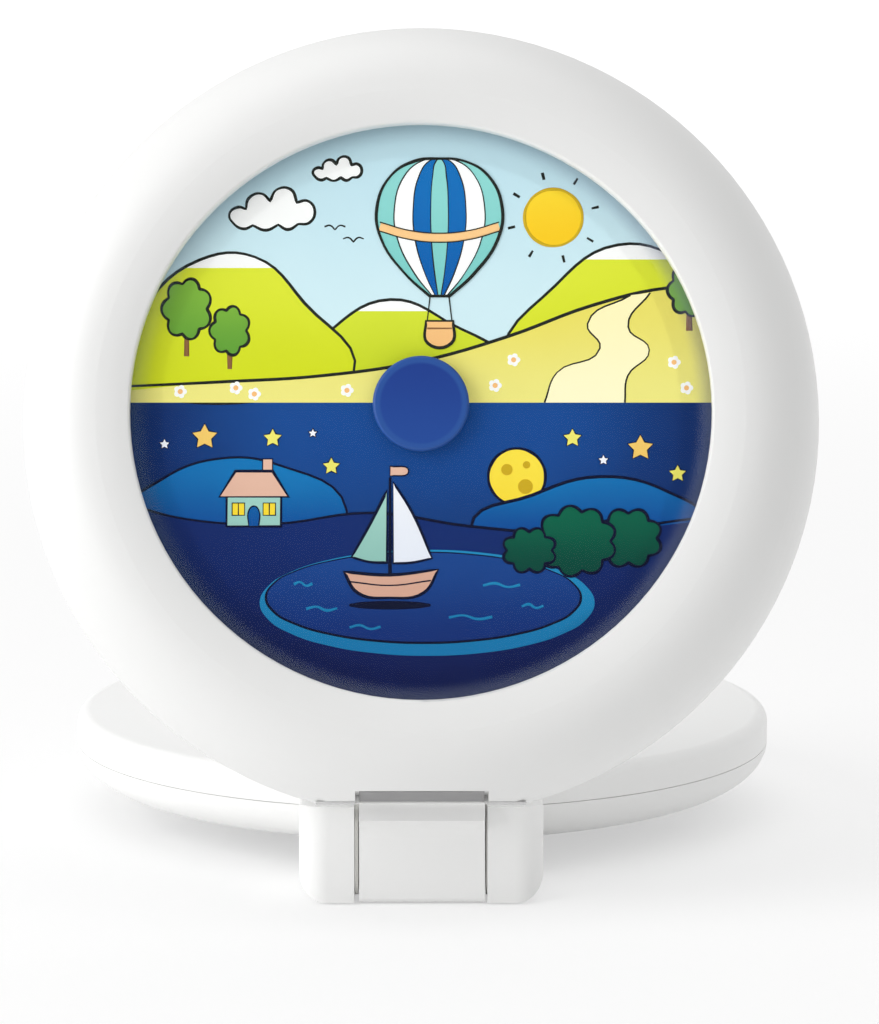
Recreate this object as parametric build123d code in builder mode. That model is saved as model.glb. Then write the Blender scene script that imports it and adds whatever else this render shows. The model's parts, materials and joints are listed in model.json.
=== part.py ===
from build123d import *

import os
from math import cos, radians, sin

# Folding bedside clock with a lit picture for children.
# Millimetres, +Z up, the picture looks towards -Y and leans back.
# The origin is the middle of the round base, on the table.

os.makedirs("parts", exist_ok=True)

UP = (Align.CENTER, Align.CENTER, Align.MIN)  # stands on its plane
DOWN = (Align.CENTER, Align.CENTER, Align.MAX)  # hangs from its plane

# Clearances
stack_gap = 0.1  # between parts that lie on each other
key_gap = 0.25  # round keys, knob and battery door
stub_gap = 0.04  # hinge stub in its bores
seam_gap = 0.1  # visible line between two shells
screw_gap = 0.03  # thread in its pilot hole
moving_gap = 0.5  # head against base
fit_gap = 0.3  # parts that drop into a seat, cells in their bay
glue_gap = 0.05  # glue or solder under small parts
root = 0.5  # posts and columns start this deep in their wall

# Base, a bun with a flat top
base_setback = 8.0  # its rim lies this far behind the hinge axis
base_wall = 2.0
underside_height = 5.0  # flat underside above the table
belly_height = 7.5  # underside up to the widest line
belly_run = 11.5  # how far the belly turns in
rim_height = 5.5  # straight band above the widest line
base_top_round = 2.2
lip_height = 1.6  # locating lip of the bottom shell
lip_wall = 1.2

# Hinge block at the front of the base
axis_beyond = 3.5  # hinge axis outside the head's radius
axis_height = 8.2
block_half = 8.0  # half height and half depth of the block
knuckle_left = 10.1
knuckle_right = 10.4
knuckle_edge = 1.0
washer_space = 0.8  # left seam, which holds the friction washer
plain_space = 0.4  # right seam, which holds a thin one
lug_outer = 20.0
lug_round = 4.5
lug_edge = 1.0
lug_tail = 15.5  # lugs reach this far behind the axis, into the base
stub_radius = 2.5
stub_bore = 1.3
stub_chamfer = 0.4
stub_tip = 3.6  # inner end of each stub from the middle
stub_end = 17.0  # outer end of the plain stub
lug_pocket_left = 18.4
lug_pocket_right = 14.6
lug_pocket_half = 2.6
washer_inset = 0.8  # washer inside the outline of the block
washer_corner = 2.5
washer_clear = 0.15  # washer to knuckle
neck_foot = 3.0  # neck between knuckle and head, from the axis, up the head
neck_top = 8.5
neck_back = 4.0
neck_rise = 2.4  # neck reaches this far into the head's back
neck_cove = 3.5  # hollow rounding over the front of the knuckle

# Head
lean = 16.5  # degrees back from upright
head_radius = 65.0
head_wall = 2.0
flat_wall = 2.6  # wall behind the flat at the bottom
roll_run = 12.5  # rolled edge, across
bezel_depth = 13.1  # rolled edge, towards the front
band_drop = 0.8  # inner band curves down towards the window
band_run = 5.5  # inner band, across
window_edge = 0.6  # rounding of its lip
window_step = 2.1  # lip down to the lens
rear_depth = 3.3
rear_roll_run = 4.0
bezel_notch = 1.3  # cut over the knuckle
spigot_height = 2.4
spigot_wall = 1.5
spigot_gap = 0.7

# Stack behind the window
lens_margin = 2.5  # lens beyond the window
lens_thickness = 1.2
film_thickness = 0.3
diffuser_thickness = 1.5
tray_height = 4.2
tray_wall = 1.2
tray_floor = 0.8
board_margin = 1.5  # board inside the lens's edge
head_post_margin = 4.0  # posts inside the board's edge
head_post_angles = (60.0, 120.0, 240.0, 300.0)
board_thickness = 1.0
seat_wall = 1.6
seat_depth = 6.2
horizon = 1.2  # line between the day and night half, above the middle
emblem_radius = 7.8
emblem_rise = 0.9

# Lights
led_length = 3.5
led_width = 2.8
led_rise = 0.8
led_circle_radius = 27.0
led_window = 4.8
leds_per_half = 5
led_spread = 120.0

# Control panel on the back of the head, as (across, up) from the head's middle
panel_width = 78.0
panel_height = 46.0
panel_up = 4.0
panel_recess = 0.8
panel_corner = 8.0
display_up = 13.0
display_width = 42.0
display_height = 20.0
display_rebate = 1.5
display_lip = 0.5
display_cover = 0.8
glass_margin = 2.0
glass_thickness = 1.6
strip_width = 2.0
key_row_up = -10.0
key_pitch = 13.5
key_width = 9.5
key_height = 6.0
key_proud = 0.6
key_flange = 0.9
key_flange_thickness = 0.8
key_nib_radius = 1.0
key_travel = 0.5  # until a switch clicks
switch_size = 4.5
switch_thickness = 1.0
knob_across = -31.0
knob_length = 6.0
knob_width = 4.0
knob_travel = 4.0
knob_proud = 0.6
slider_body = 2.2

# Screws
head_screw_inset = 9.2  # from the head's edge
base_screw_inset = 12.5  # from the base's edge
base_screw_angles = (-25.0, 60.0, 120.0, 205.0)
column_radius = 3.25
column_drop = 2.2  # below the seam
screw_radius = 1.25
screw_head_radius = 2.4
screw_head_height = 1.4
screw_bite = 6.5
pilot_end = 0.6  # pilot holes stop this far under the base's top
screw_sink = 1.0  # heads lie this deep
board_screw_radius = 0.9
board_screw_head = 1.7
board_screw_height = 1.0
board_screw_inset = 3.0

# Battery bay, cells lie across the base
cell_radius = 5.25
cell_length = 44.5
cell_spacing = 10.9
cell_nub_radius = 1.9
cell_nub = 0.8
cell_edge = 0.5
spring_length = 4.6
spring_wire = 0.3
spring_radius = 2.6
spring_pitch = 1.2
contact_thickness = 0.3
contact_margin = 1.5  # plate beyond the spring
bay_back = 12.0  # middle of bay and door behind the base's middle
bay_wall = 1.6
bay_roof = 1.2
door_rest = 2.85  # door beyond the long sides of the bay
door_end = 3.3  # door beyond its screws
door_thickness = 1.6
door_corner = 5.0
door_grips = 5
door_grip_pitch = 4.0
door_grip_width = 1.2
door_grip_depth = 0.4
door_screw_head = 0.7
boss_bottom = 1.4
boss_floor = 3.0
ring_wall = 2.0  # boss material between door and foot ring
ring_width = 2.5
ring_groove = 1.0
boss_rim = 1.8
boss_corner = 12.0
pad_radius = 2.6
pad_rise = 1.0

# Speaker and main board
speaker_angle = 232.0  # around the base, from +X
speaker_inset = 0.8  # inside the flat part of the floor
speaker_radius = 14.0
speaker_rim = 1.2
speaker_basket = 3.0
basket_wall = 0.5
magnet_radius = 7.5
magnet_height = 2.4
magnet_chamfer = 0.3
cone_radius = 12.0
cone_neck = 3.5
cone_edge = 0.4
cone_rise = 2.4
cone_wall = 0.3
collar_wall = 1.2
collar_height = 2.2
grille_hole = 0.9
grille_circle_radius = 4.4  # radius of the inner ring of holes
grille_count = 6  # holes in the inner ring
main_board_across = 17.0
main_board_setback = 31.5  # behind the base's front edge
main_board_length = 32.0
main_board_width = 22.0
main_board_thickness = 1.2
chip_size = 7.0
chip_rise = 1.4
capacitor_radius = 2.5
capacitor_rise = 4.5
socket_place = (-8.0, -6.0)
socket_length = 5.0
socket_width = 3.5
socket_rise = 2.4
post_height = 2.0
post_radius = 2.2
lead_radius = 0.75
lead_channel = 1.25
lead_aside = 0.4  # runs just left of the middle of the knuckle
lead_turn_low = 1.6
lead_turn_high = 4.2
lead_reach = 17.0
lead_tight_bend = 1.3
lead_bend = 3.0
lead_slack = 4.5  # straight out of its socket
lead_drift = (-6.0, -12.5)  # where it heads for the left lug
lead_lift = 2.2  # over the edge of the bottom shell

# Sizes and levels that follow from the sizes above
axis_reach = head_radius + axis_beyond  # hinge axis in front of the base's middle
base_radius = axis_reach - base_setback
window_radius = head_radius - roll_run - band_run
lens_radius = window_radius + lens_margin
head_board_radius = lens_radius - board_margin
head_post_reach = head_board_radius - head_post_margin
head_screw_reach = head_radius - head_screw_inset
base_screw_reach = base_radius - base_screw_inset
seam_level = underside_height + belly_height
base_top = seam_level + rim_height
base_ceiling = base_top - base_wall
base_floor = underside_height + base_wall
block_bottom = axis_height - block_half
block_top = axis_height + block_half
lug_left = knuckle_left + washer_space
lug_right = knuckle_right + plain_space
lug_pocket_middle = -(lug_pocket_left + lug_pocket_right) / 2
well_reach = axis_reach - neck_top - moving_gap
back_offset = base_top + moving_gap - axis_height  # head's back in front of the axis
rim_offset = back_offset + rear_depth
flat_up = (block_half + moving_gap - back_offset * sin(radians(lean))) / cos(radians(lean))
head_flat = axis_reach - flat_up  # flat at the bottom, from the head's middle

# The head's own axes: up the picture and out of it
head_up = Vector(0, sin(radians(lean)), cos(radians(lean)))
head_out = Vector(0, -cos(radians(lean)), sin(radians(lean)))
hinge_point = Vector(0, -axis_reach, axis_height)
head_middle = hinge_point + head_up * axis_reach + head_out * rim_offset
head_axis = Axis(head_middle, head_out)
head_section = Plane(origin=head_middle, x_dir=(1, 0, 0), z_dir=-head_up)
hinge_plane = Plane(origin=hinge_point, x_dir=(0, 1, 0), z_dir=(1, 0, 0))
cove_corner = (
    -block_half,
    (neck_foot + block_half * sin(radians(lean))) / cos(radians(lean)),
)


# Plane of the picture at a height in front of the head's widest line
def head_at(height):
    return Plane(origin=head_middle + head_out * height, x_dir=(1, 0, 0), z_dir=head_out)


# Point given across, up the head from the hinge axis, and out of it
def from_hinge(across, up, out):
    return hinge_point + Vector(across, 0, 0) + head_up * up + head_out * out


# Levels in the head, in front of its widest line
lip_level = bezel_depth - band_drop
lens_front = lip_level - window_step
lens_back = lens_front - lens_thickness
film_back = lens_back - stack_gap - film_thickness
diffuser_back = film_back - stack_gap - diffuser_thickness
tray_back = diffuser_back - stack_gap - tray_height
board_front = tray_back - stack_gap
board_back = board_front - board_thickness
rear_inside = head_wall - rear_depth
panel_face = panel_recess - rear_depth
flange_back = rear_inside + stack_gap
flange_front = flange_back + key_flange_thickness
switch_face = board_back - glue_gap - switch_thickness
key_nib = switch_face - flange_front - key_travel - 2 * stack_gap
window_back = panel_face + display_lip
glass_back = window_back + display_cover + stack_gap
glass_front = glass_back + glass_thickness
pocket_radius = lens_radius + fit_gap
key_places = [(key_pitch * (index - 2), key_row_up) for index in range(5)]
key_names = ("set_key", "alarm_key", "minus_key", "plus_key", "light_key")

main_board_place = (main_board_across, main_board_setback - base_radius)
board_screw_places = [
    (
        main_board_place[0] + side * (main_board_length / 2 - board_screw_inset),
        main_board_place[1] + end * (main_board_width / 2 - board_screw_inset),
    )
    for side in (-1, 1)
    for end in (-1, 1)
]
boss_top = base_floor
cell_middle = boss_bottom + door_thickness + fit_gap + cell_radius
bay_top = cell_middle + cell_radius + fit_gap
bay_length = cell_length + spring_length + 2 * contact_thickness + 5 * stack_gap
bay_width = 2 * cell_spacing + 2 * cell_radius + 4 * fit_gap
door_top = boss_bottom + door_thickness
speaker_reach = base_radius - belly_run - speaker_radius - speaker_inset
speaker_place = (
    speaker_reach * cos(radians(speaker_angle)),
    speaker_reach * sin(radians(speaker_angle)),
)
door_screw_across = bay_length / 2 + bay_wall + column_radius + key_gap
door_screw_places = [(side * door_screw_across, bay_back) for side in (-1, 1)]
door_length = 2 * (door_screw_across + door_end)
door_width = bay_width + 2 * door_rest
ring_inner_length = door_length + 2 * key_gap + 2 * ring_wall
ring_inner_width = door_width + 2 * key_gap + 2 * ring_wall
boss_length = ring_inner_length + 2 * ring_width + 2 * boss_rim
boss_width = ring_inner_width + 2 * ring_width + 2 * boss_rim


# Everything below a flat across the bottom of the head, between two heights
def below_flat(distance, bottom, top):
    with BuildPart() as block:
        with BuildSketch(head_at(bottom)):
            with Locations((0, -distance)):
                Rectangle(3 * head_radius, head_radius, align=(Align.CENTER, Align.MAX))
        extrude(amount=top - bottom)
    return block.part


# Four round columns or holes at the head screws, between two heights
def head_screw_rods(radius, bottom, top):
    with BuildPart() as rods:
        with BuildSketch(head_at(bottom)):
            with PolarLocations(head_screw_reach, 4, start_angle=45):
                Circle(radius)
        extrude(amount=top - bottom)
    return rods.part


outer_flat = below_flat(head_flat, -rear_depth - 1, bezel_depth + 1)
inner_flat = below_flat(head_flat - flat_wall, -2, bezel_depth)
bezel_boss_foot = rear_inside + spigot_height + 4 * stack_gap
bezel_bosses = head_screw_rods(column_radius, bezel_boss_foot, bezel_depth)
bezel_pilots = head_screw_rods(screw_radius + screw_gap, 0, board_back + screw_bite)

# Room inside the front ring: the hollow roll and the seat of the lens
with BuildPart() as bezel_room:
    with BuildSketch(head_section):
        with BuildLine():
            inner = EllipticalCenterArc(
                (head_radius - roll_run, 0),
                roll_run - head_wall,
                bezel_depth - head_wall,
                start_angle=0,
                arc_size=90,
            )
            Polyline(
                inner @ 1,
                (pocket_radius + seat_wall, bezel_depth - head_wall),
                (pocket_radius + seat_wall, -1),
                (head_radius - head_wall, -1),
                inner @ 0,
            )
        make_face()
        with Locations((0, -1)):
            Rectangle(pocket_radius, lens_front + stack_gap + 1, align=(Align.MIN, Align.MIN))
            Rectangle(
                pocket_radius + seat_wall + stack_gap / 10,
                lens_front - seat_depth + 1,
                align=(Align.MIN, Align.MIN),
            )
    revolve(axis=head_axis)
    add(inner_flat, mode=Mode.SUBTRACT)
    add(bezel_bosses, mode=Mode.SUBTRACT)

with BuildPart() as front_bezel:
    with BuildSketch(head_section) as ring_section:
        with BuildLine():
            roll = EllipticalCenterArc(
                (head_radius - roll_run, 0), roll_run, bezel_depth, start_angle=0, arc_size=90
            )
            band = TangentArc(roll @ 1, (window_radius, lip_level), tangent=roll % 1)
            Polyline(band @ 1, (window_radius, 0), roll @ 0)
        make_face()
        fillet(ring_section.vertices().group_by(Axis.X)[0].sort_by(Axis.Y)[-1], window_edge)
    revolve(axis=head_axis)
    add(outer_flat, mode=Mode.SUBTRACT)
    with BuildSketch(head_at(0)):
        with Locations(((knuckle_right - knuckle_left) / 2, -head_flat)):
            Rectangle(knuckle_left + knuckle_right + 2 * moving_gap, 2 * bezel_notch)
    extrude(amount=bezel_depth, mode=Mode.SUBTRACT)
    add(bezel_room.part, mode=Mode.SUBTRACT)
    add(bezel_pilots, mode=Mode.SUBTRACT)
front_bezel.part.label = "front_bezel"
export_step(front_bezel.part, "parts/front_bezel.step")

with BuildPart(head_at(lens_back)) as picture_lens:
    Cylinder(lens_radius, lens_thickness, align=UP)
picture_lens.part.label = "picture_lens"
export_step(picture_lens.part, "parts/picture_lens.step")

with BuildPart(head_at(film_back)) as picture_print:
    Cylinder(lens_radius, film_thickness, align=UP)
picture_print.part.label = "picture_print"
export_step(picture_print.part, "parts/picture_print.step")

with BuildPart(head_at(lens_front + glue_gap)) as emblem_disc:
    with Locations((0, horizon)):
        Cylinder(emblem_radius, emblem_rise, align=UP)
    fillet(emblem_disc.faces().sort_by(head_axis)[-1].edges(), emblem_rise * 0.6)
emblem_disc.part.label = "emblem_disc"
export_step(emblem_disc.part, "parts/emblem_disc.step")

with BuildPart(head_at(diffuser_back)) as diffuser_plate:
    Cylinder(lens_radius, diffuser_thickness, align=UP)
diffuser_plate.part.label = "diffuser_plate"
export_step(diffuser_plate.part, "parts/diffuser_plate.step")


# The lights of one half stand on an arc: day above the horizon, night below
def led_arc(middle_angle):
    return PolarLocations(
        led_circle_radius,
        leds_per_half,
        start_angle=middle_angle - led_spread / 2,
        angular_range=led_spread,
        rotate=False,
        endpoint=True,
    )


with BuildPart(head_at(tray_back)) as light_box:
    Cylinder(lens_radius, tray_height, align=UP)
    with BuildSketch(head_at(tray_back + tray_floor)):
        Circle(lens_radius - tray_wall)
        with Locations((0, horizon)):
            Rectangle(2 * lens_radius, tray_wall, mode=Mode.SUBTRACT)
    extrude(amount=tray_height, mode=Mode.SUBTRACT)
    with BuildSketch(head_at(tray_back)):
        for middle_angle in (90, 270):
            with led_arc(middle_angle):
                Rectangle(led_window, led_window)
    extrude(amount=tray_floor, mode=Mode.SUBTRACT)
light_box.part.label = "light_box"
export_step(light_box.part, "parts/light_box.step")

with BuildPart(head_at(board_back)) as head_board:
    Cylinder(head_board_radius, board_thickness, align=UP)
head_board.part.label = "head_board"
export_step(head_board.part, "parts/head_board.step")

for name, middle_angle in (("day_leds", 90), ("night_leds", 270)):
    with BuildPart(head_at(board_front + glue_gap)) as leds:
        with led_arc(middle_angle):
            Box(led_length, led_width, led_rise, align=UP)
    leds.part.label = name
    export_step(leds.part, f"parts/{name}.step")


# Line of the lead from the hinge axis through the neck and up inside the head
with BuildLine() as head_lead_line:
    FilletPolyline(
        from_hinge(-stub_tip, 0, 0),
        from_hinge(-lead_aside, 0, 0),
        from_hinge(-lead_aside, flat_up + lead_turn_low, back_offset + 2 * lead_radius),
        from_hinge(-lead_aside, flat_up + lead_turn_high, rim_offset),
        from_hinge(-lead_aside, flat_up + lead_reach, rim_offset),
        radius=[lead_tight_bend, lead_bend, lead_bend],
    )


# A round lead or its channel along a line
def lead_solid(line, radius):
    with BuildPart() as tube:
        with BuildSketch(Plane(origin=line @ 0, z_dir=line % 0)):
            Circle(radius)
        sweep(path=line)
    return tube.part


head_lead_channel = lead_solid(head_lead_line.wires()[0], lead_channel)
head_screw_seat = screw_head_height + screw_sink - rear_depth
rear_columns = head_screw_rods(column_radius, rear_inside, bezel_boss_foot - stack_gap)
rear_counterbores = head_screw_rods(screw_head_radius + key_gap, -rear_depth, head_screw_seat)
rear_screw_holes = head_screw_rods(screw_radius + stack_gap, -rear_depth, bezel_boss_foot)

with BuildPart() as rear_cover:
    with BuildSketch(head_section):
        with BuildLine():
            corner = EllipticalCenterArc(
                (head_radius - rear_roll_run, 0),
                rear_roll_run,
                rear_depth,
                start_angle=270,
                arc_size=90,
            )
            Polyline(corner @ 1, (0, 0), (0, -rear_depth), corner @ 0)
        make_face()
    revolve(axis=head_axis)
    # hollow inside, with a locating spigot that enters the front ring
    add(outer_flat, mode=Mode.SUBTRACT)
    with BuildSketch(head_at(rear_inside)):
        Circle(head_radius - head_wall)
        with Locations((0, flat_wall - head_flat)):
            Rectangle(
                2 * head_radius, head_radius, align=(Align.CENTER, Align.MAX), mode=Mode.SUBTRACT
            )
    extrude(amount=rear_depth, mode=Mode.SUBTRACT)
    with BuildSketch(head_at(-seam_gap)):
        Circle(head_radius + 1)
    extrude(amount=seam_gap + 1, mode=Mode.SUBTRACT)
    with BuildSketch(head_at(rear_inside)):
        Circle(head_radius - head_wall - spigot_gap)
        Circle(head_radius - head_wall - spigot_gap - spigot_wall, mode=Mode.SUBTRACT)
        with Locations((0, flat_wall - head_flat + fit_gap)):
            Rectangle(
                2 * head_radius, head_radius, align=(Align.CENTER, Align.MAX), mode=Mode.SUBTRACT
            )
    extrude(amount=spigot_height)
    # screw columns, and posts that press the board into the stack
    add(rear_columns)
    with BuildSketch(head_at(rear_inside)):
        for turn in head_post_angles:
            with PolarLocations(head_post_reach, 1, start_angle=turn):
                Circle(post_radius)
    extrude(amount=board_back - stack_gap - rear_inside)
    # recessed panel with its openings
    with BuildSketch(head_at(-rear_depth)):
        with Locations((0, panel_up)):
            RectangleRounded(panel_width, panel_height, panel_corner)
    extrude(amount=panel_recess, mode=Mode.SUBTRACT)
    with BuildSketch(head_at(-rear_depth)):
        with Locations((0, display_up)):
            Rectangle(display_width, display_height)
        with Locations(*key_places):
            SlotOverall(key_width + 2 * key_gap, key_height + 2 * key_gap)
        with Locations((knob_across, display_up)):
            Rectangle(knob_width + 2 * key_gap, knob_length + knob_travel + 2 * key_gap)
    extrude(amount=head_wall, mode=Mode.SUBTRACT)
    with BuildSketch(head_at(window_back)):
        with Locations((0, display_up)):
            Rectangle(display_width + 2 * display_rebate, display_height + 2 * display_rebate)
    extrude(amount=head_wall, mode=Mode.SUBTRACT)
    # neck and knuckle of the hinge
    with BuildSketch(hinge_plane.offset(-knuckle_left)) as knuckle_outline:
        Circle(block_half)
        Rectangle(block_half, 2 * block_half, align=(Align.MAX, Align.CENTER))
        fillet(knuckle_outline.vertices().group_by(Axis.X)[0].sort_by(Axis.Y)[0], knuckle_edge)
        with Locations(Location((0, 0, 0), (0, 0, 90 - lean))):
            with Locations((neck_foot, neck_back)):
                Rectangle(
                    neck_top - neck_foot,
                    back_offset + neck_rise - neck_back,
                    align=(Align.MIN, Align.MIN),
                )
        fillet(knuckle_outline.vertices().sort_by_distance(cove_corner)[0], neck_cove)
    extrude(amount=knuckle_left + knuckle_right)
    with BuildSketch(hinge_plane.offset(-knuckle_left)):
        Circle(stub_radius + 1.5 * stub_gap)
    extrude(amount=knuckle_left + knuckle_right, mode=Mode.SUBTRACT)
    add(head_lead_channel, mode=Mode.SUBTRACT)
    add(rear_counterbores, mode=Mode.SUBTRACT)
    add(rear_screw_holes, mode=Mode.SUBTRACT)
rear_cover.part.label = "rear_cover"
export_step(rear_cover.part, "parts/rear_cover.step")

head_lead = lead_solid(head_lead_line.wires()[0], lead_radius)
head_lead.label = "head_lead"
export_step(head_lead, "parts/head_lead.step")


# Pan-head screws whose heads rest on a plane and whose shanks point along its normal
def screw_set(plane, places, shank, radius, head_radius, head_height):
    with BuildPart() as screws:
        with BuildSketch(plane):
            with places:
                Circle(radius)
        extrude(amount=shank)
        with BuildSketch(plane):
            with places:
                Circle(head_radius)
        extrude(amount=-head_height)
        tops = screws.faces().group_by(Axis(plane.origin, plane.z_dir))[0]
        fillet(tops.edges(), head_height * 0.4)
        with BuildSketch(plane.offset(-head_height)):
            with places:
                Rectangle(head_radius * 1.3, head_radius * 0.3)
                Rectangle(head_radius * 0.3, head_radius * 1.3)
        extrude(amount=head_height / 2, mode=Mode.SUBTRACT)
    return screws.part


head_screws = screw_set(
    head_at(head_screw_seat),
    PolarLocations(head_screw_reach, 4, start_angle=45),
    screw_bite + 1,
    screw_radius,
    screw_head_radius,
    screw_head_height,
)
head_screws.label = "head_screws"
export_step(head_screws, "parts/head_screws.step")

with BuildPart(head_at(window_back)) as display_window:
    with Locations((0, display_up)):
        Box(
            display_width + 2 * display_rebate - 2 * stack_gap,
            display_height + 2 * display_rebate - 2 * stack_gap,
            display_cover,
            align=UP,
        )
display_window.part.label = "display_window"
export_step(display_window.part, "parts/display_window.step")

with BuildPart(head_at(glass_back)) as display_glass:
    with Locations((0, display_up)):
        Box(
            display_width + 2 * glass_margin,
            display_height + 2 * glass_margin,
            glass_thickness,
            align=UP,
        )
display_glass.part.label = "display_glass"
export_step(display_glass.part, "parts/display_glass.step")

strip_rise = board_back - glass_front - 2 * stack_gap
with BuildPart(head_at(board_back - stack_gap)) as contact_strips:
    with Locations((0, display_up)):
        with GridLocations(1, display_height + glass_margin, 1, 2):
            Box(display_width, strip_width, strip_rise, align=DOWN)
contact_strips.part.label = "contact_strips"
export_step(contact_strips.part, "parts/contact_strips.step")

with BuildPart(head_at(board_back - glue_gap)) as key_switches:
    with Locations(*key_places):
        Box(switch_size, switch_size, switch_thickness, align=DOWN)
key_switches.part.label = "key_switches"
export_step(key_switches.part, "parts/key_switches.step")

for name, place in zip(key_names, key_places):
    with BuildPart() as key:
        with BuildSketch(head_at(panel_face - key_proud)):
            with Locations(place):
                SlotOverall(key_width, key_height)
        extrude(amount=flange_back - panel_face + key_proud)
        fillet(key.faces().sort_by(head_axis)[0].edges(), key_proud * 0.5)
        with BuildSketch(head_at(flange_back)):
            with Locations(place):
                SlotOverall(key_width + 2 * key_flange, key_height + 2 * key_flange)
        extrude(amount=key_flange_thickness)
        with BuildSketch(head_at(flange_front)):
            with Locations(place):
                Circle(key_nib_radius)
        extrude(amount=key_nib)
    key.part.label = name
    export_step(key.part, f"parts/{name}.step")

# The light switch slides up and down beside the display; it stands at its lower end
knob_up = display_up - knob_travel / 2
with BuildPart() as light_knob:
    with BuildSketch(head_at(panel_face - knob_proud)):
        with Locations((knob_across, knob_up)):
            Rectangle(knob_width, knob_length)
    extrude(amount=flange_back - panel_face + knob_proud)
    for rib in (-1, 0, 1):
        with BuildSketch(head_at(panel_face - knob_proud)):
            with Locations((knob_across, knob_up + rib * knob_length / 4)):
                Rectangle(knob_width, knob_length / 12)
        extrude(amount=knob_proud / 2, mode=Mode.SUBTRACT)
    with BuildSketch(head_at(flange_back)):
        with Locations((knob_across, knob_up)):
            Rectangle(knob_width + 2 * key_flange, knob_length + 2 * key_flange)
    extrude(amount=key_flange_thickness)
light_knob.part.label = "light_knob"
export_step(light_knob.part, "parts/light_knob.step")

slider_rise = board_back - flange_front - 3 * stack_gap
with BuildPart(head_at(board_back - glue_gap)) as slide_switch:
    with Locations((knob_across, display_up)):
        Box(knob_width + slider_body, knob_length + knob_travel, slider_rise, align=DOWN)
slide_switch.part.label = "slide_switch"
export_step(slide_switch.part, "parts/slide_switch.step")


# One hinge lug, rounded at its outer bottom corner and its outer front edge
def lug_solid(inner_x, outer_x):
    outermost = 0 if outer_x < 0 else -1
    width = abs(outer_x - inner_x)
    middle = (inner_x + outer_x) / 2
    front = -axis_reach - block_half
    back = lug_tail - axis_reach
    with BuildPart() as lug:
        with BuildSketch(Plane.XZ.offset(-back)) as face:
            with Locations((middle, block_bottom)):
                Rectangle(width, 2 * block_half, align=(Align.CENTER, Align.MIN))
            fillet(face.vertices().group_by(Axis.Y)[0].sort_by(Axis.X)[outermost], lug_round)
            fillet(face.vertices().group_by(Axis.Y)[-1].sort_by(Axis.X)[outermost], lug_edge)
        extrude(amount=back - front)
        with BuildSketch(Plane.XY) as plan:
            with Locations((middle, front)):
                Rectangle(width, back - front, align=(Align.CENTER, Align.MIN))
            fillet(plan.vertices().group_by(Axis.Y)[0].sort_by(Axis.X)[outermost], lug_round)
        extrude(amount=block_top + 1, mode=Mode.INTERSECT)
    return lug.part


lug_spans = ((-lug_left, -lug_outer), (lug_right, lug_outer))
lugs = [lug_solid(inner_x, outer_x) for inner_x, outer_x in lug_spans]
base_screw_places = [
    (base_screw_reach * cos(radians(turn)), base_screw_reach * sin(radians(turn)))
    for turn in base_screw_angles
]
column_level = seam_level - column_drop  # where the screw columns of the shells meet

with BuildPart() as base_top_shell:
    with BuildSketch(Plane.XY.offset(seam_level)):
        Circle(base_radius)
    extrude(amount=rim_height)
    fillet(base_top_shell.faces().sort_by(Axis.Z)[-1].edges(), base_top_round)
    with BuildSketch(Plane.XY.offset(seam_level)):
        Circle(base_radius - base_wall)
        with Locations((0, base_wall - well_reach)):
            Rectangle(
                2 * base_radius, base_radius, align=(Align.CENTER, Align.MAX), mode=Mode.SUBTRACT
            )
    extrude(amount=rim_height - base_wall, mode=Mode.SUBTRACT)
    # flat between the lugs, where the knuckle turns
    with BuildSketch(Plane.XY.offset(seam_level)):
        with Locations(((lug_right - lug_left) / 2, -well_reach)):
            Rectangle(lug_left + lug_right, base_radius, align=(Align.CENTER, Align.MAX))
    extrude(amount=rim_height, mode=Mode.SUBTRACT)
    add(lugs)
    with BuildSketch(Plane.XY.offset(column_level)):
        with Locations(*base_screw_places):
            Circle(column_radius)
    extrude(amount=base_ceiling - column_level)
    with BuildSketch(Plane.XY.offset(column_level)):
        with Locations(*base_screw_places):
            Circle(screw_radius + screw_gap)
    extrude(amount=base_ceiling - column_level - pilot_end, mode=Mode.SUBTRACT)
    # hinge bores and the lead's pocket in the left lug
    with BuildSketch(hinge_plane.offset(-lug_pocket_right - root)):
        Circle(stub_radius + stub_gap / 2)
    extrude(amount=lug_pocket_right + stub_end + root, mode=Mode.SUBTRACT)
    with BuildSketch(Plane.XZ.offset(axis_reach + lug_pocket_half)):
        with Locations((lug_pocket_middle, axis_height)):
            Rectangle(lug_pocket_left - lug_pocket_right, 2 * lug_pocket_half)
    extrude(amount=-(lug_tail + lug_pocket_half + 1), mode=Mode.SUBTRACT)
    # seats of the rubber pads
    with BuildSketch(Plane.XY.offset(block_bottom)):
        for inner_x, outer_x in lug_spans:
            with Locations(((inner_x + outer_x) / 2, -axis_reach)):
                Circle(pad_radius + stack_gap)
    extrude(amount=pad_rise - block_bottom, mode=Mode.SUBTRACT)
base_top_shell.part.label = "base_top_shell"
export_step(base_top_shell.part, "parts/base_top_shell.step")

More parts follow.
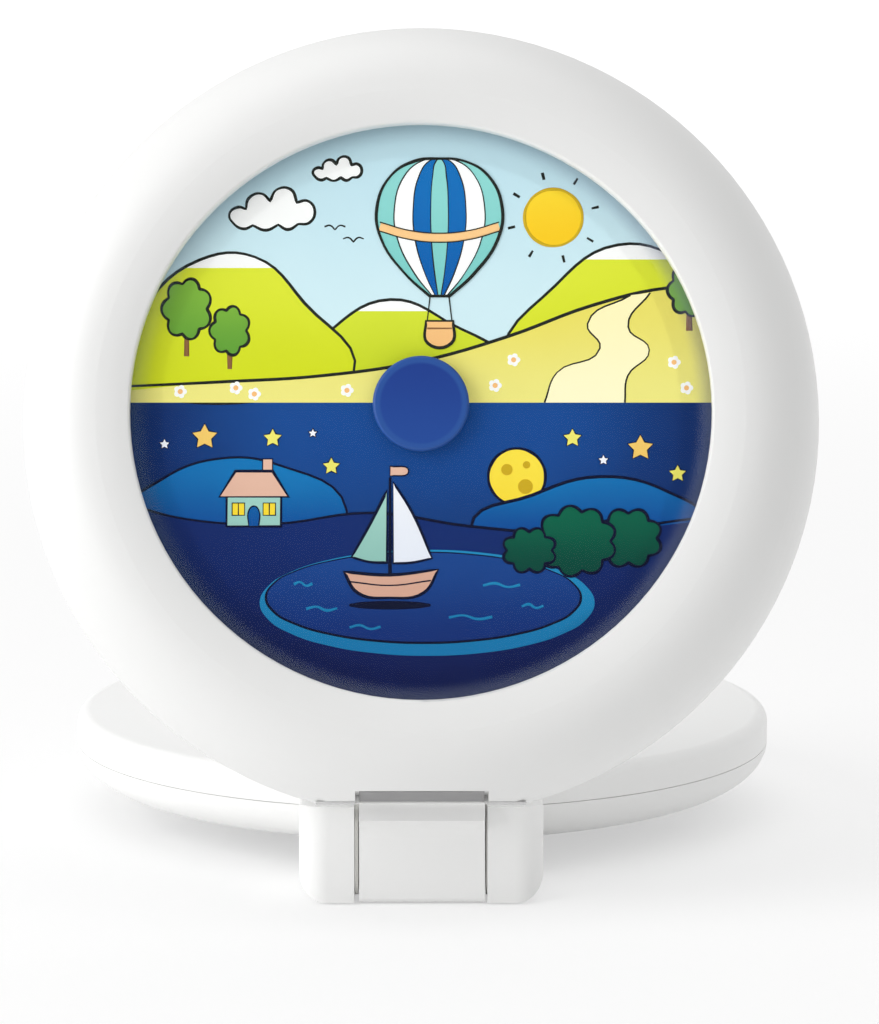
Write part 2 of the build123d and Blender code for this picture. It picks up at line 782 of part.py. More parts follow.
with BuildPart() as base_bottom_shell:
    with BuildSketch(Plane.XZ):
        with BuildLine():
            belly = EllipticalCenterArc(
                (base_radius - belly_run, seam_level),
                belly_run,
                belly_height,
                start_angle=270,
                arc_size=90,
            )
            hollow = EllipticalCenterArc(
                (base_radius - belly_run, seam_level),
                belly_run - base_wall,
                belly_height - base_wall,
                start_angle=270,
                arc_size=90,
            )
            Line(belly @ 1, hollow @ 1)
            Polyline(hollow @ 0, (0, base_floor), (0, underside_height), belly @ 0)
        make_face()
    revolve(axis=Axis.Z)
    # boss under the base that carries the battery door and the foot ring
    with BuildSketch(Plane.XY.offset(boss_bottom)):
        with Locations((0, bay_back)):
            RectangleRounded(boss_length, boss_width, boss_corner)
    extrude(amount=boss_top - boss_bottom)
    with BuildSketch(Plane.XY.offset(boss_bottom + boss_floor)):
        with Locations((0, bay_back)):
            RectangleRounded(
                boss_length - 2 * base_wall, boss_width - 2 * base_wall, boss_corner - base_wall
            )
    extrude(amount=boss_top - boss_bottom, mode=Mode.SUBTRACT)
    # battery bay
    with BuildSketch(Plane.XY.offset(door_top)):
        with Locations((0, bay_back)):
            Rectangle(bay_length + 2 * bay_wall, bay_width + 2 * bay_wall)
    extrude(amount=bay_top + bay_roof - door_top)
    with BuildSketch(Plane.XY.offset(boss_bottom)):
        with Locations((0, bay_back)):
            Rectangle(bay_length, bay_width)
    extrude(amount=bay_top - boss_bottom, mode=Mode.SUBTRACT)
    with BuildSketch(Plane.XY.offset(boss_bottom)):
        with Locations((0, bay_back)):
            RectangleRounded(
                door_length + 2 * key_gap, door_width + 2 * key_gap, door_corner + key_gap
            )
    extrude(amount=door_thickness + stack_gap, mode=Mode.SUBTRACT)
    # groove of the foot ring
    with BuildSketch(Plane.XY.offset(boss_bottom)):
        with Locations((0, bay_back)):
            RectangleRounded(
                ring_inner_length + 2 * ring_width,
                ring_inner_width + 2 * ring_width,
                boss_corner - boss_rim,
            )
            RectangleRounded(
                ring_inner_length,
                ring_inner_width,
                boss_corner - boss_rim - ring_width,
                mode=Mode.SUBTRACT,
            )
    extrude(amount=ring_groove, mode=Mode.SUBTRACT)
    # columns for the base screws, posts for the board and for the door's screws
    with BuildSketch(Plane.XY.offset(underside_height + root)):
        with Locations(*base_screw_places):
            Circle(column_radius)
    extrude(amount=column_level - stack_gap - underside_height - root)
    with BuildSketch(Plane.XY.offset(base_floor - root)):
        with Locations(*board_screw_places):
            Circle(post_radius)
    extrude(amount=post_height + root)
    with BuildSketch(Plane.XY.offset(door_top + stack_gap)):
        with Locations(*door_screw_places):
            Circle(column_radius)
    extrude(amount=screw_bite)
    with BuildSketch(Plane.XY.offset(boss_bottom)):
        with Locations(*door_screw_places):
            Circle(screw_radius + screw_gap)
    extrude(amount=screw_bite, mode=Mode.SUBTRACT)
    with BuildSketch(Plane.XY.offset(base_floor)):
        with Locations(*board_screw_places):
            Circle(board_screw_radius + screw_gap)
    extrude(amount=post_height + root, mode=Mode.SUBTRACT)
    # collar and grille of the speaker
    with BuildSketch(Plane.XY.offset(base_floor - root)):
        with Locations(speaker_place):
            Circle(speaker_radius + stack_gap + collar_wall)
            Circle(speaker_radius + stack_gap, mode=Mode.SUBTRACT)
    extrude(amount=collar_height)
    with BuildSketch(Plane.XY.offset(underside_height)):
        with Locations(speaker_place):
            Circle(grille_hole)
            for ring in (1, 2):
                with PolarLocations(ring * grille_circle_radius, ring * grille_count):
                    Circle(grille_hole)
    extrude(amount=base_wall, mode=Mode.SUBTRACT)
    # locating lip, room for the lugs, and a fine line under the top shell
    with BuildSketch(Plane.XY.offset(seam_level - belly_height / 4)):
        Circle(base_radius - base_wall - stack_gap)
        Circle(base_radius - base_wall - stack_gap - lip_wall, mode=Mode.SUBTRACT)
        with Locations((0, lug_tail - axis_reach + fit_gap)):
            Rectangle(
                2 * lug_outer + 2 * base_wall,
                base_radius,
                align=(Align.CENTER, Align.MAX),
                mode=Mode.SUBTRACT,
            )
    extrude(amount=belly_height / 4 + lip_height)
    with BuildSketch(Plane.XY.offset(seam_level - seam_gap)):
        Circle(base_radius + 1)
        Circle(base_radius - base_wall, mode=Mode.SUBTRACT)
    extrude(amount=1, mode=Mode.SUBTRACT)
    with BuildSketch(Plane.XY.offset(-1)):
        for inner_x, outer_x in lug_spans:
            with Locations(((inner_x + outer_x) / 2, lug_tail - axis_reach + seam_gap)):
                Rectangle(
                    abs(outer_x - inner_x) + 2 * seam_gap,
                    base_radius,
                    align=(Align.CENTER, Align.MAX),
                )
        with Locations((0, -well_reach)):
            Rectangle(2 * lug_outer, base_radius, align=(Align.CENTER, Align.MAX))
    extrude(amount=base_top, mode=Mode.SUBTRACT)
    # counterbores of the base screws
    with BuildSketch(Plane.XY.offset(underside_height)):
        with Locations(*base_screw_places):
            Circle(screw_head_radius + key_gap)
    extrude(amount=screw_head_height + screw_sink, mode=Mode.SUBTRACT)
    with BuildSketch(Plane.XY.offset(underside_height)):
        with Locations(*base_screw_places):
            Circle(screw_radius + stack_gap)
    extrude(amount=base_top, mode=Mode.SUBTRACT)
base_bottom_shell.part.label = "base_bottom_shell"
export_step(base_bottom_shell.part, "parts/base_bottom_shell.step")

base_screws = screw_set(
    Plane.XY.offset(underside_height + screw_head_height + screw_sink),
    Locations(*base_screw_places),
    screw_bite,
    screw_radius,
    screw_head_radius,
    screw_head_height,
)
base_screws.label = "base_screws"
export_step(base_screws, "parts/base_screws.step")

with BuildPart(Plane.XY) as foot_ring:
    with BuildSketch(Plane.XY):
        with Locations((0, bay_back)):
            RectangleRounded(
                ring_inner_length + 2 * ring_width - 2 * stack_gap,
                ring_inner_width + 2 * ring_width - 2 * stack_gap,
                boss_corner - boss_rim - stack_gap,
            )
            RectangleRounded(
                ring_inner_length + 2 * stack_gap,
                ring_inner_width + 2 * stack_gap,
                boss_corner - boss_rim - ring_width + stack_gap,
                mode=Mode.SUBTRACT,
            )
    extrude(amount=boss_bottom + ring_groove - glue_gap)
foot_ring.part.label = "foot_ring"
export_step(foot_ring.part, "parts/foot_ring.step")

with BuildPart() as lug_pads:
    for inner_x, outer_x in lug_spans:
        with BuildSketch(Plane.XY):
            with Locations(((inner_x + outer_x) / 2, -axis_reach)):
                Circle(pad_radius)
        extrude(amount=pad_rise - glue_gap)
lug_pads.part.label = "lug_pads"
export_step(lug_pads.part, "parts/lug_pads.step")

# Hinge: a hollow stub on the left for the lead, a plain one on the right
with BuildPart() as hollow_stub:
    with BuildSketch(hinge_plane.offset(-lug_pocket_right)):
        Circle(stub_radius)
        Circle(stub_bore, mode=Mode.SUBTRACT)
    extrude(amount=lug_pocket_right - stub_tip)
hollow_stub.part.label = "hollow_stub"
export_step(hollow_stub.part, "parts/hollow_stub.step")

with BuildPart() as plain_stub:
    with BuildSketch(hinge_plane.offset(stub_tip)):
        Circle(stub_radius)
    extrude(amount=stub_end - stack_gap - stub_tip)
    chamfer(plain_stub.edges().filter_by(GeomType.CIRCLE), stub_chamfer)
plain_stub.part.label = "plain_stub"
export_step(plain_stub.part, "parts/plain_stub.step")

washer_size = 2 * (block_half - washer_inset)
with BuildPart() as friction_washer:
    for face, space in ((-lug_left, washer_space), (knuckle_right + washer_clear, plain_space)):
        with BuildSketch(hinge_plane.offset(face if face > 0 else face + glue_gap)):
            RectangleRounded(washer_size, washer_size, washer_corner)
            Circle(stub_radius + stub_gap, mode=Mode.SUBTRACT)
        extrude(amount=space - washer_clear - glue_gap)
friction_washer.part.label = "friction_washer"
export_step(friction_washer.part, "parts/friction_washer.step")

# Battery door with its screws, cells, springs and contacts
with BuildPart() as battery_door:
    with BuildSketch(Plane.XY.offset(boss_bottom)):
        with Locations((0, bay_back)):
            RectangleRounded(door_length, door_width, door_corner)
    extrude(amount=door_thickness)
    with BuildSketch(Plane.XY.offset(boss_bottom)):
        with Locations(*door_screw_places):
            Circle(screw_radius + stack_gap)
    extrude(amount=door_thickness, mode=Mode.SUBTRACT)
    with BuildSketch(Plane.XY.offset(boss_bottom)):
        with Locations(*door_screw_places):
            Circle(screw_head_radius + stack_gap)
    extrude(amount=door_screw_head, mode=Mode.SUBTRACT)
    with BuildSketch(Plane.XY.offset(boss_bottom)):
        with Locations((0, bay_back)):
            with GridLocations(door_grip_pitch, 1, door_grips, 1):
                SlotOverall(door_width / 2, door_grip_width, rotation=90)
    extrude(amount=door_grip_depth, mode=Mode.SUBTRACT)
battery_door.part.label = "battery_door"
export_step(battery_door.part, "parts/battery_door.step")

door_screws = screw_set(
    Plane.XY.offset(boss_bottom + door_screw_head),
    Locations(*door_screw_places),
    screw_bite - door_screw_head - stack_gap,
    screw_radius,
    screw_head_radius,
    door_screw_head,
)
door_screws.label = "door_screws"
export_step(door_screws, "parts/door_screws.step")

# Cells alternate; each positive nub meets a contact and each flat end has a spring
contact_face = bay_length / 2 - stack_gap - contact_thickness
cell_rows = [
    (bay_back + row * cell_spacing, 1 if row % 2 == 0 else -1) for row in (-1, 0, 1)
]
with BuildPart() as battery_cells:
    for row_y, side in cell_rows:
        with BuildSketch(Plane.YZ.offset(side * (contact_face - stack_gap - cell_length))):
            with Locations((row_y, cell_middle)):
                Circle(cell_radius)
        extrude(amount=side * (cell_length - cell_nub))
    fillet(battery_cells.edges().filter_by(GeomType.CIRCLE), cell_edge)
    for row_y, side in cell_rows:
        with BuildSketch(Plane.YZ.offset(side * (contact_face - stack_gap))):
            with Locations((row_y, cell_middle)):
                Circle(cell_nub_radius)
        extrude(amount=-side * 2 * cell_nub)
battery_cells.part.label = "battery_cells"
export_step(battery_cells.part, "parts/battery_cells.step")

spring_parts = []
for row_y, side in cell_rows:
    spring_start = (side * (stack_gap + spring_wire - contact_face), row_y, cell_middle)
    coil = Helix(
        spring_pitch,
        spring_length - 2 * spring_wire,
        spring_radius,
        center=spring_start,
        direction=(side, 0, 0),
    )
    with BuildPart() as spring:
        with BuildSketch(Plane(origin=coil @ 0, z_dir=coil % 0)):
            Circle(spring_wire)
        sweep(path=coil, is_frenet=True)
    spring_parts.append(spring.part)
battery_springs = Compound(label="battery_springs", children=spring_parts)
export_step(battery_springs, "parts/battery_springs.step")

# Two single contacts at the ends of the chain, two that join neighbouring cells
single_width = 2 * spring_radius + 2 * contact_margin
double_width = single_width + cell_spacing
contact_spans = (
    (1, bay_back + cell_spacing / 2, double_width),
    (1, bay_back - cell_spacing, single_width),
    (-1, bay_back - cell_spacing / 2, double_width),
    (-1, bay_back + cell_spacing, single_width),
)
with BuildPart() as battery_contacts:
    for side, middle_y, width in contact_spans:
        with BuildSketch(Plane.YZ.offset(side * contact_face)):
            with Locations((middle_y, cell_middle)):
                Rectangle(width, single_width)
        extrude(amount=side * contact_thickness)
battery_contacts.part.label = "battery_contacts"
export_step(battery_contacts.part, "parts/battery_contacts.step")

# Speaker, facing down through the grille
speaker_face = base_floor + stack_gap
basket_top = speaker_face + speaker_rim + speaker_basket
with BuildPart() as speaker_frame:
    with BuildSketch(Plane.XZ):
        with BuildLine():
            Polyline(
                (cone_radius + basket_wall, speaker_face),
                (speaker_radius, speaker_face),
                (speaker_radius, speaker_face + speaker_rim),
                (speaker_radius - speaker_rim, speaker_face + speaker_rim),
                (magnet_radius + basket_wall, basket_top),
                (0, basket_top),
                (0, basket_top - basket_wall),
                (magnet_radius, basket_top - basket_wall),
                (cone_radius + basket_wall, speaker_face + speaker_rim / 2),
                close=True,
            )
        make_face()
    revolve(axis=Axis.Z)
speaker_frame.part.label = "speaker_frame"

with BuildPart() as speaker_cone:
    with BuildSketch(Plane.XZ):
        with BuildLine():
            Polyline(
                (cone_radius, speaker_face + cone_edge),
                (cone_radius, speaker_face + cone_edge + cone_wall),
                (cone_neck, speaker_face + cone_rise + cone_wall),
                (0, speaker_face + cone_rise - cone_edge + cone_wall),
                (0, speaker_face + cone_rise - cone_edge),
                (cone_neck, speaker_face + cone_rise),
                close=True,
            )
        make_face()
    revolve(axis=Axis.Z)
speaker_cone.part.label = "speaker_cone"

with BuildPart(Plane.XY.offset(basket_top + glue_gap)) as speaker_magnet:
    Cylinder(magnet_radius, magnet_height, align=UP)
    chamfer(speaker_magnet.edges(), magnet_chamfer)
speaker_magnet.part.label = "speaker_magnet"

for piece in (speaker_frame, speaker_cone, speaker_magnet):
    placed = piece.part.moved(Location((*speaker_place, 0)))
    placed.label = piece.part.label
    export_step(placed, f"parts/{placed.label}.step")

# Main board on its posts, with the chip, a capacitor and the lead's socket
board_level = base_floor + post_height + glue_gap
with BuildPart(Plane.XY.offset(board_level)) as main_board:
    with Locations(main_board_place):
        Box(main_board_length, main_board_width, main_board_thickness, align=UP)
    with Locations(*board_screw_places):
        Cylinder(
            board_screw_radius + stack_gap, main_board_thickness, align=UP, mode=Mode.SUBTRACT
        )
main_board.part.label = "main_board"
export_step(main_board.part, "parts/main_board.step")

parts_level = board_level + main_board_thickness + glue_gap
with BuildPart(Plane.XY.offset(parts_level)) as board_parts:
    with Locations(main_board_place):
        Box(chip_size, chip_size, chip_rise, align=UP)
        with Locations((chip_size + stack_gap + capacitor_radius / 2, 0)):
            Cylinder(capacitor_radius, capacitor_rise, align=UP)
        with Locations(socket_place):
            Box(socket_length, socket_width, socket_rise, align=UP)
board_parts.part.label = "board_parts"
export_step(board_parts.part, "parts/board_parts.step")

# This plane looks down, so its second coordinate runs the other way
board_screws = screw_set(
    Plane(origin=(0, 0, board_level + main_board_thickness), x_dir=(1, 0, 0), z_dir=(0, 0, -1)),
    Locations(*[(x, -y) for x, y in board_screw_places]),
    main_board_thickness + post_height,
    board_screw_radius,
    board_screw_head,
    board_screw_height,
)
board_screws.label = "board_screws"
export_step(board_screws, "parts/board_screws.step")

# Lead from the main board through the left lug to the middle of the hinge
socket_x = main_board_place[0] + socket_place[0]
socket_front = main_board_place[1] + socket_place[1] - socket_width / 2
lead_level = parts_level + socket_rise / 2
with BuildLine() as base_lead_line:
    FilletPolyline(
        (socket_x, socket_front, lead_level),
        (socket_x, socket_front - lead_slack, lead_level),
        (lead_drift[0], lug_tail - axis_reach - lead_drift[1], lead_level - lead_radius / 2),
        (lug_pocket_middle, lug_tail - axis_reach + lug_pocket_half, axis_height + lead_lift),
        (lug_pocket_middle, -axis_reach + 4 * lug_pocket_half, axis_height),
        (lug_pocket_middle, -axis_reach, axis_height),
        (-stub_tip - glue_gap, -axis_reach, axis_height),
        radius=[lead_tight_bend, lead_bend, lead_bend, 2 * lead_bend, lead_tight_bend],
    )
base_lead = lead_solid(base_lead_line.wires()[0], lead_radius)
base_lead.label = "base_lead"
export_step(base_lead, "parts/base_lead.step")
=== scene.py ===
import json
import math

import bpy
from mathutils import Matrix, Vector


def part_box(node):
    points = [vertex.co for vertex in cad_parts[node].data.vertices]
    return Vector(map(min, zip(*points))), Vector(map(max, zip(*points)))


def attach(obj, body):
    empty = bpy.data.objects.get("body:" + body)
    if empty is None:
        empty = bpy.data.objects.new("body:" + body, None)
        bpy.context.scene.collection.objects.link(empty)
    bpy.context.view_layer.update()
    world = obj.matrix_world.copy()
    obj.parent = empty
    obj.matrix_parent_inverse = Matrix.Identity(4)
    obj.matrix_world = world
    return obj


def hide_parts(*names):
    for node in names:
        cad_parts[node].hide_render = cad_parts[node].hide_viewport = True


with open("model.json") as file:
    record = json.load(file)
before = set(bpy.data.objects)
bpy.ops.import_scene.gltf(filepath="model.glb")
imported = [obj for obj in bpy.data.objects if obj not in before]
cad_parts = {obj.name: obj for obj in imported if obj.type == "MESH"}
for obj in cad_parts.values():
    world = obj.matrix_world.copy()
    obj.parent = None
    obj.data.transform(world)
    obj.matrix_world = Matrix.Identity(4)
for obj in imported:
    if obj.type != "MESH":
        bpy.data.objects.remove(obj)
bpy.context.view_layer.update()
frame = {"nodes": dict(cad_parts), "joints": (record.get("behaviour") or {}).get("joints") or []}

mm = 0.001
nodes = frame["nodes"]
print("frame loaded:", len(nodes), "nodes")


def jointNamed(name):
    return next(joint for joint in frame["joints"] if joint["name"] == name)


def middleOf(node):
    low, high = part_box(node)
    return (low + high) / 2


# The head's own space: x across the picture, y up it, z out of it, in millimetres from the
# middle of the film. The same space turned round is for what shows on the back.
outOfHead = Vector(jointNamed("set_key_press")["axis"])
upHead = Vector(jointNamed("light_knob_slide")["axis"])
filmMiddle = middleOf("picture_print")
headAxes = Matrix((Vector((1, 0, 0)), upHead, outOfHead)).transposed().to_4x4()
headSpace = Matrix.Translation(filmMiddle) @ headAxes @ Matrix.Scale(mm, 4)
backSpace = headSpace @ Matrix.Rotation(math.pi, 4, "Y")


# A wire of a shader tree, so that shader maths reads as plain expressions
class Wire:
    def __init__(self, tree, socket):
        self.tree = tree
        self.socket = socket

    def maths(self, operation, *values):
        return self.tree.node("Math", {"operation": operation}, dict(enumerate(values)))

    def __add__(self, other):
        return self.maths("ADD", self, other)

    def __sub__(self, other):
        return self.maths("SUBTRACT", self, other)

    def __rsub__(self, other):
        return self.maths("SUBTRACT", other, self)

    def __mul__(self, other):
        return self.maths("MULTIPLY", self, other)

    def __gt__(self, other):
        return self.maths("GREATER_THAN", self, other)

    def __lt__(self, other):
        return self.maths("LESS_THAN", self, other)

    __radd__ = __add__
    __rmul__ = __mul__

    def size(self):
        return self.maths("ABSOLUTE", self)

    def between(self, low, high):
        sockets = {"Value": self, "From Min": low, "From Max": high}
        return self.tree.node("MapRange", {"interpolation_type": "SMOOTHSTEP"}, sockets)


# A material, or the world, whose nodes are added by one method
class Finish:
    def __init__(self, name, owner=None):
        self.owner = owner or bpy.data.materials.new(name)
        self.owner.use_nodes = True
        self.tree = self.owner.node_tree
        self.tree.nodes.clear()

    # Adds any node: its settings first, then the values or wires of its sockets
    def node(self, kind, settings=None, sockets=None, output=0):
        made = self.tree.nodes.new("ShaderNode" + kind)
        for name, value in (settings or {}).items():
            setattr(made, name, value)
        for name, value in (sockets or {}).items():
            if isinstance(value, Wire):
                self.tree.links.new(value.socket, made.inputs[name])
            else:
                made.inputs[name].default_value = value
        return Wire(self, made.outputs[output]) if made.outputs else None

    def place(self):
        return self.node("TexCoord", output="Object")

    def along(self, direction, start):
        sockets = {0: self.place(), 1: tuple(direction)}
        return self.node("VectorMath", {"operation": "DOT_PRODUCT"}, sockets, "Value") - start

    # True for what the camera sees, straight on or in gloss and glass
    def looked(self):
        camera, glossy, through = (
            self.node("LightPath", output=f"Is {kind} Ray")
            for kind in ("Camera", "Glossy", "Transmission")
        )
        return camera.maths("MAXIMUM", camera, glossy.maths("MAXIMUM", glossy, through))

    # How far a point lies from the middle, across the face of the head
    def fromMiddle(self, middle):
        height = self.along(upHead, middle.dot(upHead))
        across = self.along((1, 0, 0), middle.x)
        return self.node("Math", {"operation": "SQRT"}, {0: height * height + across * across})

    def noise(self, grain, detail=3.0):
        sockets = {"Vector": self.place(), "Scale": 1 / grain, "Detail": detail}
        return self.node("TexNoise", None, sockets)

    def blend(self, factor, first, second):
        return self.node("Mix", {"data_type": "RGBA"}, {0: factor, 6: first, 7: second}, 2)

    def bump(self, height, distance):
        return self.node("Bump", None, {"Height": height, "Distance": distance})

    def principled(self, sockets):
        return self.node("BsdfPrincipled", None, sockets)

    def done(self, shader, kind="OutputMaterial"):
        self.node(kind, None, {"Surface": shader})
        return self.owner


# A colour as a paint chart gives it, 0 to 255, in the renderer's own scale
def paint(red, green, blue):
    linear = []
    for value in (red / 255, green / 255, blue / 255):
        linear.append(value / 12.92 if value <= 0.04045 else ((value + 0.055) / 1.055) ** 2.4)
    return (*linear, 1.0)


black = (0, 0, 0, 1)
grey = (0.5, 0.5, 0.5, 1)
white = (1, 1, 1, 1)


def towards(colour, other, share):
    return tuple(a + (b - a) * share for a, b in zip(colour, other))


# Moulded plastic: faint flow of tone, orange peel and a fine spark grain
def mouldedPlastic(name, colour, rough, grain=0.25 * mm, depth=0.004 * mm, shade=0.94):
    finish = Finish(name)
    flow = finish.noise(34 * mm).between(0.35, 0.65)
    peel = finish.noise(3.2 * mm, 2.0)
    spark = finish.noise(grain, 2.0)
    darker = towards(colour, black, 1 - shade)
    return finish.done(
        finish.principled(
            {
                "Base Color": finish.blend(flow * 0.5, colour, darker),
                "Roughness": rough + 0.08 * spark,
                "Normal": finish.bump(peel + 0.25 * spark, depth),
            }
        )
    )


# Printed ink: a gradient up the picture, duller at its edge as painted shade under the ring, faintly
# cloudy, with a fine tooth and a painted glow
def printedInk(name, low, high, bottom, top, rimShade=0.3):
    finish = Finish(name)
    height = finish.along(upHead, filmMiddle.dot(upHead))
    # painted shade: near the picture's edge each ink goes back towards its low tone
    edge = finish.fromMiddle(filmMiddle).between(20 * mm, 47 * mm)
    cloudy = finish.noise(9 * mm, 4.0)
    tooth = finish.noise(0.3 * mm, 2.0)
    rise = height.between(bottom * mm, top * mm) * (1 - rimShade * edge)
    ground = finish.blend(rise + 0.2 * (cloudy - 0.5), low, high)
    colour = finish.blend(tooth * 0.06, ground, towards(low, black, 0.5))
    return finish.done(
        finish.principled(
            {
                "Base Color": colour,
                "Roughness": 0.55 + 0.15 * tooth,
                "Specular IOR Level": 0.1,
                # painted glow: the ink shines with its own colour
                "Emission Color": colour,
                "Emission Strength": picture["glow"],
            }
        )
    )


# Clear plastic shines on its outer face only, so that it doesn't veil what lies behind it
def clearPlastic(name, tint, haze, shine):
    finish = Finish(name)
    smear = finish.noise(12 * mm, 2.0)
    gloss = finish.node("BsdfGlossy", None, {"Roughness": 0.03 + haze * smear})
    through = finish.node("BsdfTransparent", None, {"Color": tint})
    outside = 1 - finish.node("NewGeometry", output="Backfacing")
    edge = finish.node("Fresnel", None, {"IOR": 1.45}) * outside * shine
    return finish.done(finish.node("MixShader", None, {0: edge, 1: through, 2: gloss}))


def platedMetal(name, colour, rough, grain):
    finish = Finish(name)
    marks = finish.noise(grain, 4.0)
    dull = finish.noise(2.5 * mm, 3.0).between(0.4, 0.7)
    return finish.done(
        finish.principled(
            {
                "Base Color": finish.blend(dull * 0.4, colour, towards(colour, black, 0.3)),
                "Metallic": 1.0,
                "Roughness": rough + 0.2 * marks,
                "Normal": finish.bump(marks, 0.002 * mm),
            }
        )
    )


# Soft rubber with a dry, dusty tooth
def softRubber(name, colour, grain=0.15 * mm):
    finish = Finish(name)
    tooth = finish.noise(grain, 3.0)
    dust = finish.noise(4 * mm, 4.0).between(0.45, 0.75)
    return finish.done(
        finish.principled(
            {
                "Base Color": finish.blend(dust * 0.25, colour, towards(colour, grey, 0.4)),
                "Roughness": 0.62 + 0.2 * tooth,
                "Normal": finish.bump(tooth, 0.01 * mm),
            }
        )
    )


# Green board with darker tracks under the mask
def circuitBoard(name):
    finish = Finish(name)
    settings = {"distance": "MANHATTAN", "feature": "F1"}
    tracks = finish.node("TexVoronoi", settings, {"Vector": finish.place(), "Scale": 1 / (3 * mm)})
    line = tracks.between(0.45, 0.5)
    return finish.done(
        finish.principled(
            {
                "Base Color": finish.blend(line, paint(14, 92, 48), paint(34, 130, 70)),
                "Roughness": 0.3 + 0.2 * line,
                "Normal": finish.bump(line, 0.02 * mm),
            }
        )
    )


# Printed jacket of the cells: dark body, copper shoulder at each positive end
def cellJacket(name):
    finish = Finish(name)
    low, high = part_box("battery_cells")
    middle = (low + high) / 2
    rowWidth = (high.y - low.y) / 3
    turned = finish.along((0, 1, 0), middle.y).size() < rowWidth / 2
    fromMiddle = finish.along((1, 0, 0), middle.x)
    towardsNub = fromMiddle * (1 - 2 * (1 - turned))
    shoulder = towardsNub > (high.x - low.x) * 0.24
    scuff = finish.noise(1.2 * mm, 5.0)
    return finish.done(
        finish.principled(
            {
                "Base Color": finish.blend(shoulder, paint(34, 40, 46), paint(190, 120, 60)),
                "Metallic": 0.6,
                "Roughness": 0.26 + 0.25 * scuff,
            }
        )
    )


colours = {
    "shell": paint(248, 248, 247),
    # painted shade: the ring is the shell's own white, painted darker because the lamps light it more than
    # the hinge and base
    "ring": paint(237, 237, 236),
    "steel": (0.66, 0.67, 0.69, 1),
    "nickel": (0.74, 0.72, 0.68, 1),
    "clear": (0.99, 0.995, 0.995, 1),
    "foot": paint(178, 180, 184),
    "lead": paint(44, 44, 47),
    "switch": paint(30, 30, 32),
    "key": paint(92, 150, 206),
    "opal": paint(240, 240, 234),
    "lightBox": paint(244, 244, 243),
    "dayLed": paint(244, 220, 120),
    "nightLed": paint(150, 190, 240),
    "contact": paint(190, 120, 126),
    "nylon": paint(238, 237, 232),
    "cone": paint(46, 44, 44),
    "film": paint(236, 238, 238),
    # grey of the wedge in the notch: painted shade
    "notchShadeGrey": paint(150, 149, 150),
    # grey of the strips over the lugs: painted shade for the gap's dark line
    "strip": paint(216, 216, 216),
}


def buildFinishes():
    shell = mouldedPlastic("whiteShell", colours["shell"], 0.36, shade=0.985)
    steel = platedMetal("zincSteel", colours["steel"], 0.22, 0.3 * mm)
    nickel = platedMetal("nickel", colours["nickel"], 0.14, 0.2 * mm)
    foot = softRubber("greyRubber", colours["foot"])
    lead = softRubber("leadJacket", colours["lead"])
    switch = mouldedPlastic("blackPlastic", colours["switch"], 0.45)
    keys = softRubber("keyBlue", colours["key"], 0.2 * mm)
    clear = clearPlastic("clearWindow", colours["clear"], 0.03, 0.12)
    board = circuitBoard("greenBoard")
    finishes = {
        # the ring's white with painted shade, darker than the shell's
        "front_bezel": mouldedPlastic("whiteRingPaintedShade", colours["ring"], 0.36, shade=0.985),
        "rear_cover": shell,
        "base_top_shell": shell,
        "base_bottom_shell": shell,
        "battery_door": shell,
        "picture_lens": clear,
        "display_window": clear,
        "emblem_disc": emblemBlue("emblemBlue"),
        "diffuser_plate": mouldedPlastic("opal", colours["opal"], 0.5),
        "light_box": mouldedPlastic("mattWhite", colours["lightBox"], 0.6),
        "head_board": board,
        "main_board": board,
        "day_leds": ledFace("dayLed", colours["dayLed"]),
        "night_leds": ledFace("nightLed", colours["nightLed"]),
        "display_glass": displayFace("displayGlass"),
        "contact_strips": softRubber("contactStrip", colours["contact"]),
        "foot_ring": foot,
        "lug_pads": foot,
        "friction_washer": mouldedPlastic("nylon", colours["nylon"], 0.5),
        "battery_cells": cellJacket("cellJacket"),
        "speaker_cone": softRubber("conePaper", colours["cone"], 0.4 * mm),
    }
    for node in ("set_key", "alarm_key", "minus_key", "plus_key", "light_key", "light_knob"):
        finishes[node] = keys
    for node in ("key_switches", "slide_switch", "board_parts"):
        finishes[node] = switch
    for node in ("battery_springs", "battery_contacts"):
        finishes[node] = nickel
    for node in ("head_lead", "base_lead"):
        finishes[node] = lead
    for node, piece in nodes.items():
        piece.data.materials.clear()
        piece.data.materials.append(finishes.get(node, steel))
    print("finishes given to", len(nodes), "nodes")


# Blue disc in two tones, the outer ring a shade lighter
def emblemBlue(name):
    finish = Finish(name)
    middle = middleOf("emblem_disc")
    fall = finish.along(upHead, middle.dot(upHead)).between(-8 * mm, 8 * mm)
    edge = finish.fromMiddle(middle).between(6.3 * mm, 6.9 * mm)
    ground = finish.blend(fall, paint(26, 72, 154), paint(18, 58, 142))
    return finish.done(
        finish.principled(
            {
                "Base Color": finish.blend(edge * 0.8, ground, paint(40, 86, 160)),
                "Roughness": 0.36 + 0.08 * finish.noise(0.4 * mm),
                "Specular IOR Level": 0.3,
            }
        )
    )


# Phosphor under a clear face, with a lighter speckle
def ledFace(name, colour):
    finish = Finish(name)
    speck = finish.noise(0.5 * mm, 3.0)
    return finish.done(
        finish.principled(
            {
                "Base Color": finish.blend(speck * 0.4, colour, towards(colour, white, 0.5)),
                "Roughness": 0.2 + 0.1 * speck,
            }
        )
    )


